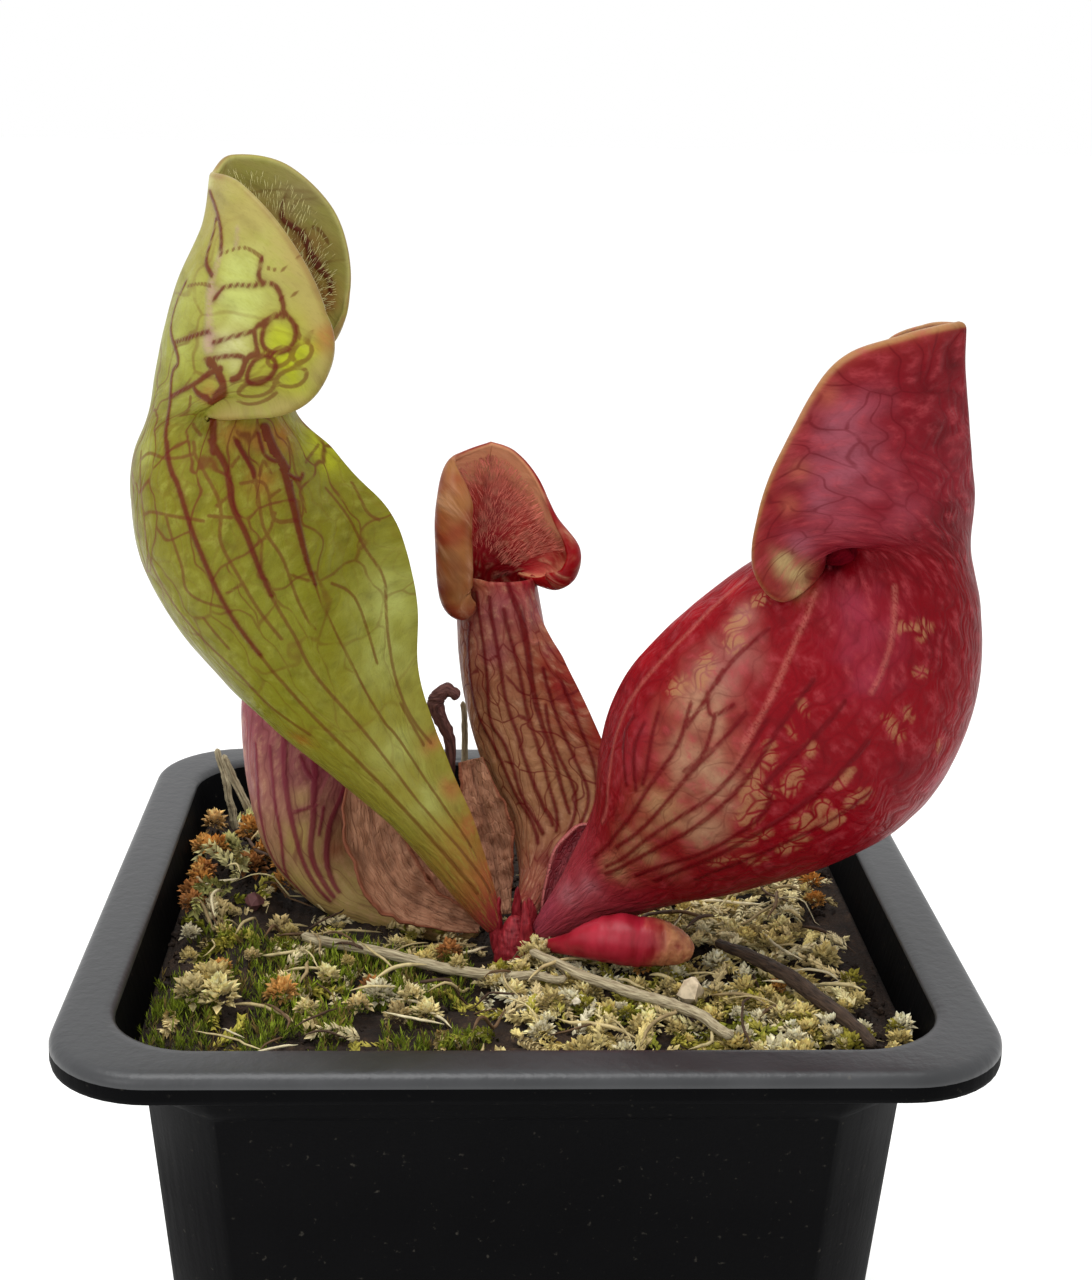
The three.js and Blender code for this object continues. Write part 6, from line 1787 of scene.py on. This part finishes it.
# Heads of the same sphagnum that push up through the green moss along the front and the left.
PALE_HEADS = [
    (-31.5, -20, 2.4), (-33.2, -24, 2.2), (-30.4, -24.6, 2.4), (-20.1, -18, 1.6), (-14.8, -22.5, 1.9),
    (-11.4, -23.2, 1.6), (-16.6, -25.2, 1.5), (-9.8, -26, 1.8), (-12.8, -26.2, 1.7), (-34.6, -15.6, 1.3),
    (-26.6, -2.2, 1.8), (-25.2, -3.6, 1.3),
    (-35.6, -6.8, 1.3), (-28.4, -12.4, 1.1), (-10.4, -14.8, 1.4), (-8.6, -11.8, 1.3), (-21.6, -26.4, 1.4),
    (-33.0, -18.2, 1.2), (-13.4, -10.6, 1.1), (-9.6, -8.6, 1.2), (-6.8, -16.6, 1.2), (-18.2, -15.4, 0.9),
]
rows = np.array(PALE_HEADS)
parts = [heads(random, on_top(rows[:, :2], 1.9), rows[:, 2], 110, CREAM + BEIGE[:1])]
LITTER = [(-34, -10), (-6, -10), (-4, -2), (-12, 3), (-24, 3), (-32, 8), (-36, 0)]
starts = np.concatenate([scatter(random, 200, MOSS_BED, 0.4), scatter(random, 900, LITTER, 0.2)])
length = random.uniform(3, 7, len(starts))
paths = trails(random, starts, length, 0.25, random.uniform(-0.4, 1.0, len(starts)), 0.7)
parts.append(strands(random, paths, 0.9, 56, 0.9, BEIGE + OLIVE))
bits = random.permutation(scatter(random, 500, LITTER, 0.4))[:36]
parts.append(heads(random, on_top(bits, 0.8), random.uniform(0.7, 1.3, len(bits)), 70, BEIGE + CREAM))
lay("moss_bed_sphagnum", parts, sphagnum_finish, None, "sphagnum")


# Rusty sphagnum. Dry orange-brown cushions and greenish shoots heaped in the back left corner,
# up to the rim, with a few more rusty heads among the green moss.
RUST = [(240, 186, 108), (226, 164, 84), (246, 204, 136), (190, 130, 74)]
SAGE = [(222, 214, 150), (200, 196, 122), (232, 222, 176), (180, 178, 104)]
RUST_HEADS = [
    (-24.5, -22.5, 1.9), (-15.6, -20.4, 1.4), (-31.0, -16.8, 1.3), (-7.8, -13.8, 1.6), (30.0, 14.0, 2.0),
    (33.0, 12.0, 1.8), (34.0, 7.0, 1.6), (31.0, 10.0, 1.5), (34.6, 15.4, 1.8), (33.6, 1.8, 1.4),
    (12.6, -15.6, 1.2), (26, -20, 1.1),
]
rust_finish = greenery("rusty_sphagnum")
places = scatter(random, 620, RUST_BED, 0.2)
rusty = value_noise(*places.T, 0, 7.0, 44) > 0.45
rusty |= places[:, 0] < -35.2
cushions = on_top(places[rusty], 1.6)
parts = [heads(random, cushions, random.uniform(1.0, 2.2, len(cushions)), 110, RUST, 0.6)]
rows = np.array(RUST_HEADS)
parts.append(heads(random, on_top(rows[:, :2], 1.9), rows[:, 2], 110, RUST, 0.5))
starts = places[~rusty]
length = random.uniform(4, 9, len(starts))
paths = trails(random, starts, length, 0.22, random.uniform(0.4, 2.2, len(starts)), 1.2)
parts.append(strands(random, paths, 1.2, 84, 1.1, SAGE, 1.1))
lay("rusty_sphagnum_cushions", parts, rust_finish, "sphagnum_rust", "rusty_sphagnum")


# Loose bits. Straw-like fibres, dark rootlets and a few chips of pale bark that lie over the moss,
# as they came out of the sphagnum bag; all are dry and only rest there.
random = np.random.default_rng(33)
litter_finish = greenery("litter")
starts = random.uniform(-36, 36, (210, 2))
starts = starts[(open_ground(*starts.T) > 0.3) & (starts[:, 1] < 16)]
length = random.uniform(3, 10, len(starts))
paths = trails(random, starts, length, 0.16, random.uniform(1.0, 2.6, len(starts)), 0.9)
tints = [(206, 190, 140), (190, 172, 124), (160, 140, 100), (220, 208, 170), (104, 80, 56), (80, 60, 46)]
fibres = tubes(paths, random.uniform(0.1, 0.3, len(paths)), palette(random, tints, len(paths)))
lay("loose_fibres", [fibres], litter_finish, None, "sphagnum", smooth=True)
CHIPS = [
    (16.8, -22.0, 2.0), (-29.5, 1.0, 1.8), (-19.0, 5.0, 0.9), (-18.0, 6.4, 0.8), (27.5, -24.0, 1.1),
    (5.0, -25.0, 0.9), (22.0, 9.0, 1.3),
]
rows = np.array(CHIPS)
points, faces = lump_field(on_top(rows[:, :2], 1.9), rows[:, 2] * 0.8, 15)
each = len(points) // len(rows)
tones = palette(random, [(236, 226, 200), (226, 208, 176)], len(rows))
tones[1] = tint(96, 60, 60)[:3]
tones = np.repeat(np.c_[tones, np.ones(len(rows))], each, axis=0)
shape("bark_chips", points, faces, litter_finish, None, "sphagnum", {"tone": tones}, smooth=False)


# Hairs. Fine waxy bristles that grow from the hoods' linings and point down into the mouths: a pale
# fringe in the green hood, redder ones all over the middle hood and a few in the red one.
def hairs(random, skin, leaf, rises, turns, count, length, inward, colour):
    """Bristles on a patch of a leaf, leaning down it; inward is 1 or -1 for the side they grow on."""
    rise, turn = random.uniform(*rises, count), random.uniform(*turns, count)
    pairs = (rise, turn), (rise + 0.02, turn), (rise, turn + 0.01)
    feet, higher, wider = (on_skin(skin["grid"], leaf, *pair) for pair in pairs)
    out = unit(np.cross(higher - feet, wider - feet)) * inward
    headings = out - 0.9 * unit(higher - feet) + random.normal(0, 0.2, feet.shape)
    lengths = length * random.uniform(0.6, 1.3, count)
    colours = np.tile(tint(*colour)[:3], (count, 1))
    points, faces, tone = leaflets(feet, headings, out, lengths, lengths * 0.045, 0.1, colours)
    return planted(points, leaf), faces, tone


hair_finish = greenery("hairs")
random = np.random.default_rng(8)
for name, slot, patches in (
    ("green_hairs", "green_pitcher", [
        (green, GREEN, (1.62, 1.98), (0.48, 0.68), 1300, 1.3, -1, (214, 206, 140)),
        (green, GREEN, (1.3, 1.6), (0.28, 0.42), 260, 1.2, -1, (196, 160, 96)),
    ]),
    ("middle_hairs", "middle_pitcher", [
        (middle_leaf, MIDDLE, (1.2, 1.95), (0.34, 0.68), 2600, 1.3, -1, (222, 122, 104)),
    ]),
    ("red_hairs", "red_pitcher", [(red, RED, (1.6, 1.98), (0.3, 0.7), 300, 0.9, -1, (226, 180, 150))]),
):
    lay(name, [hairs(random, *patch) for patch in patches], hair_finish, None, slot)
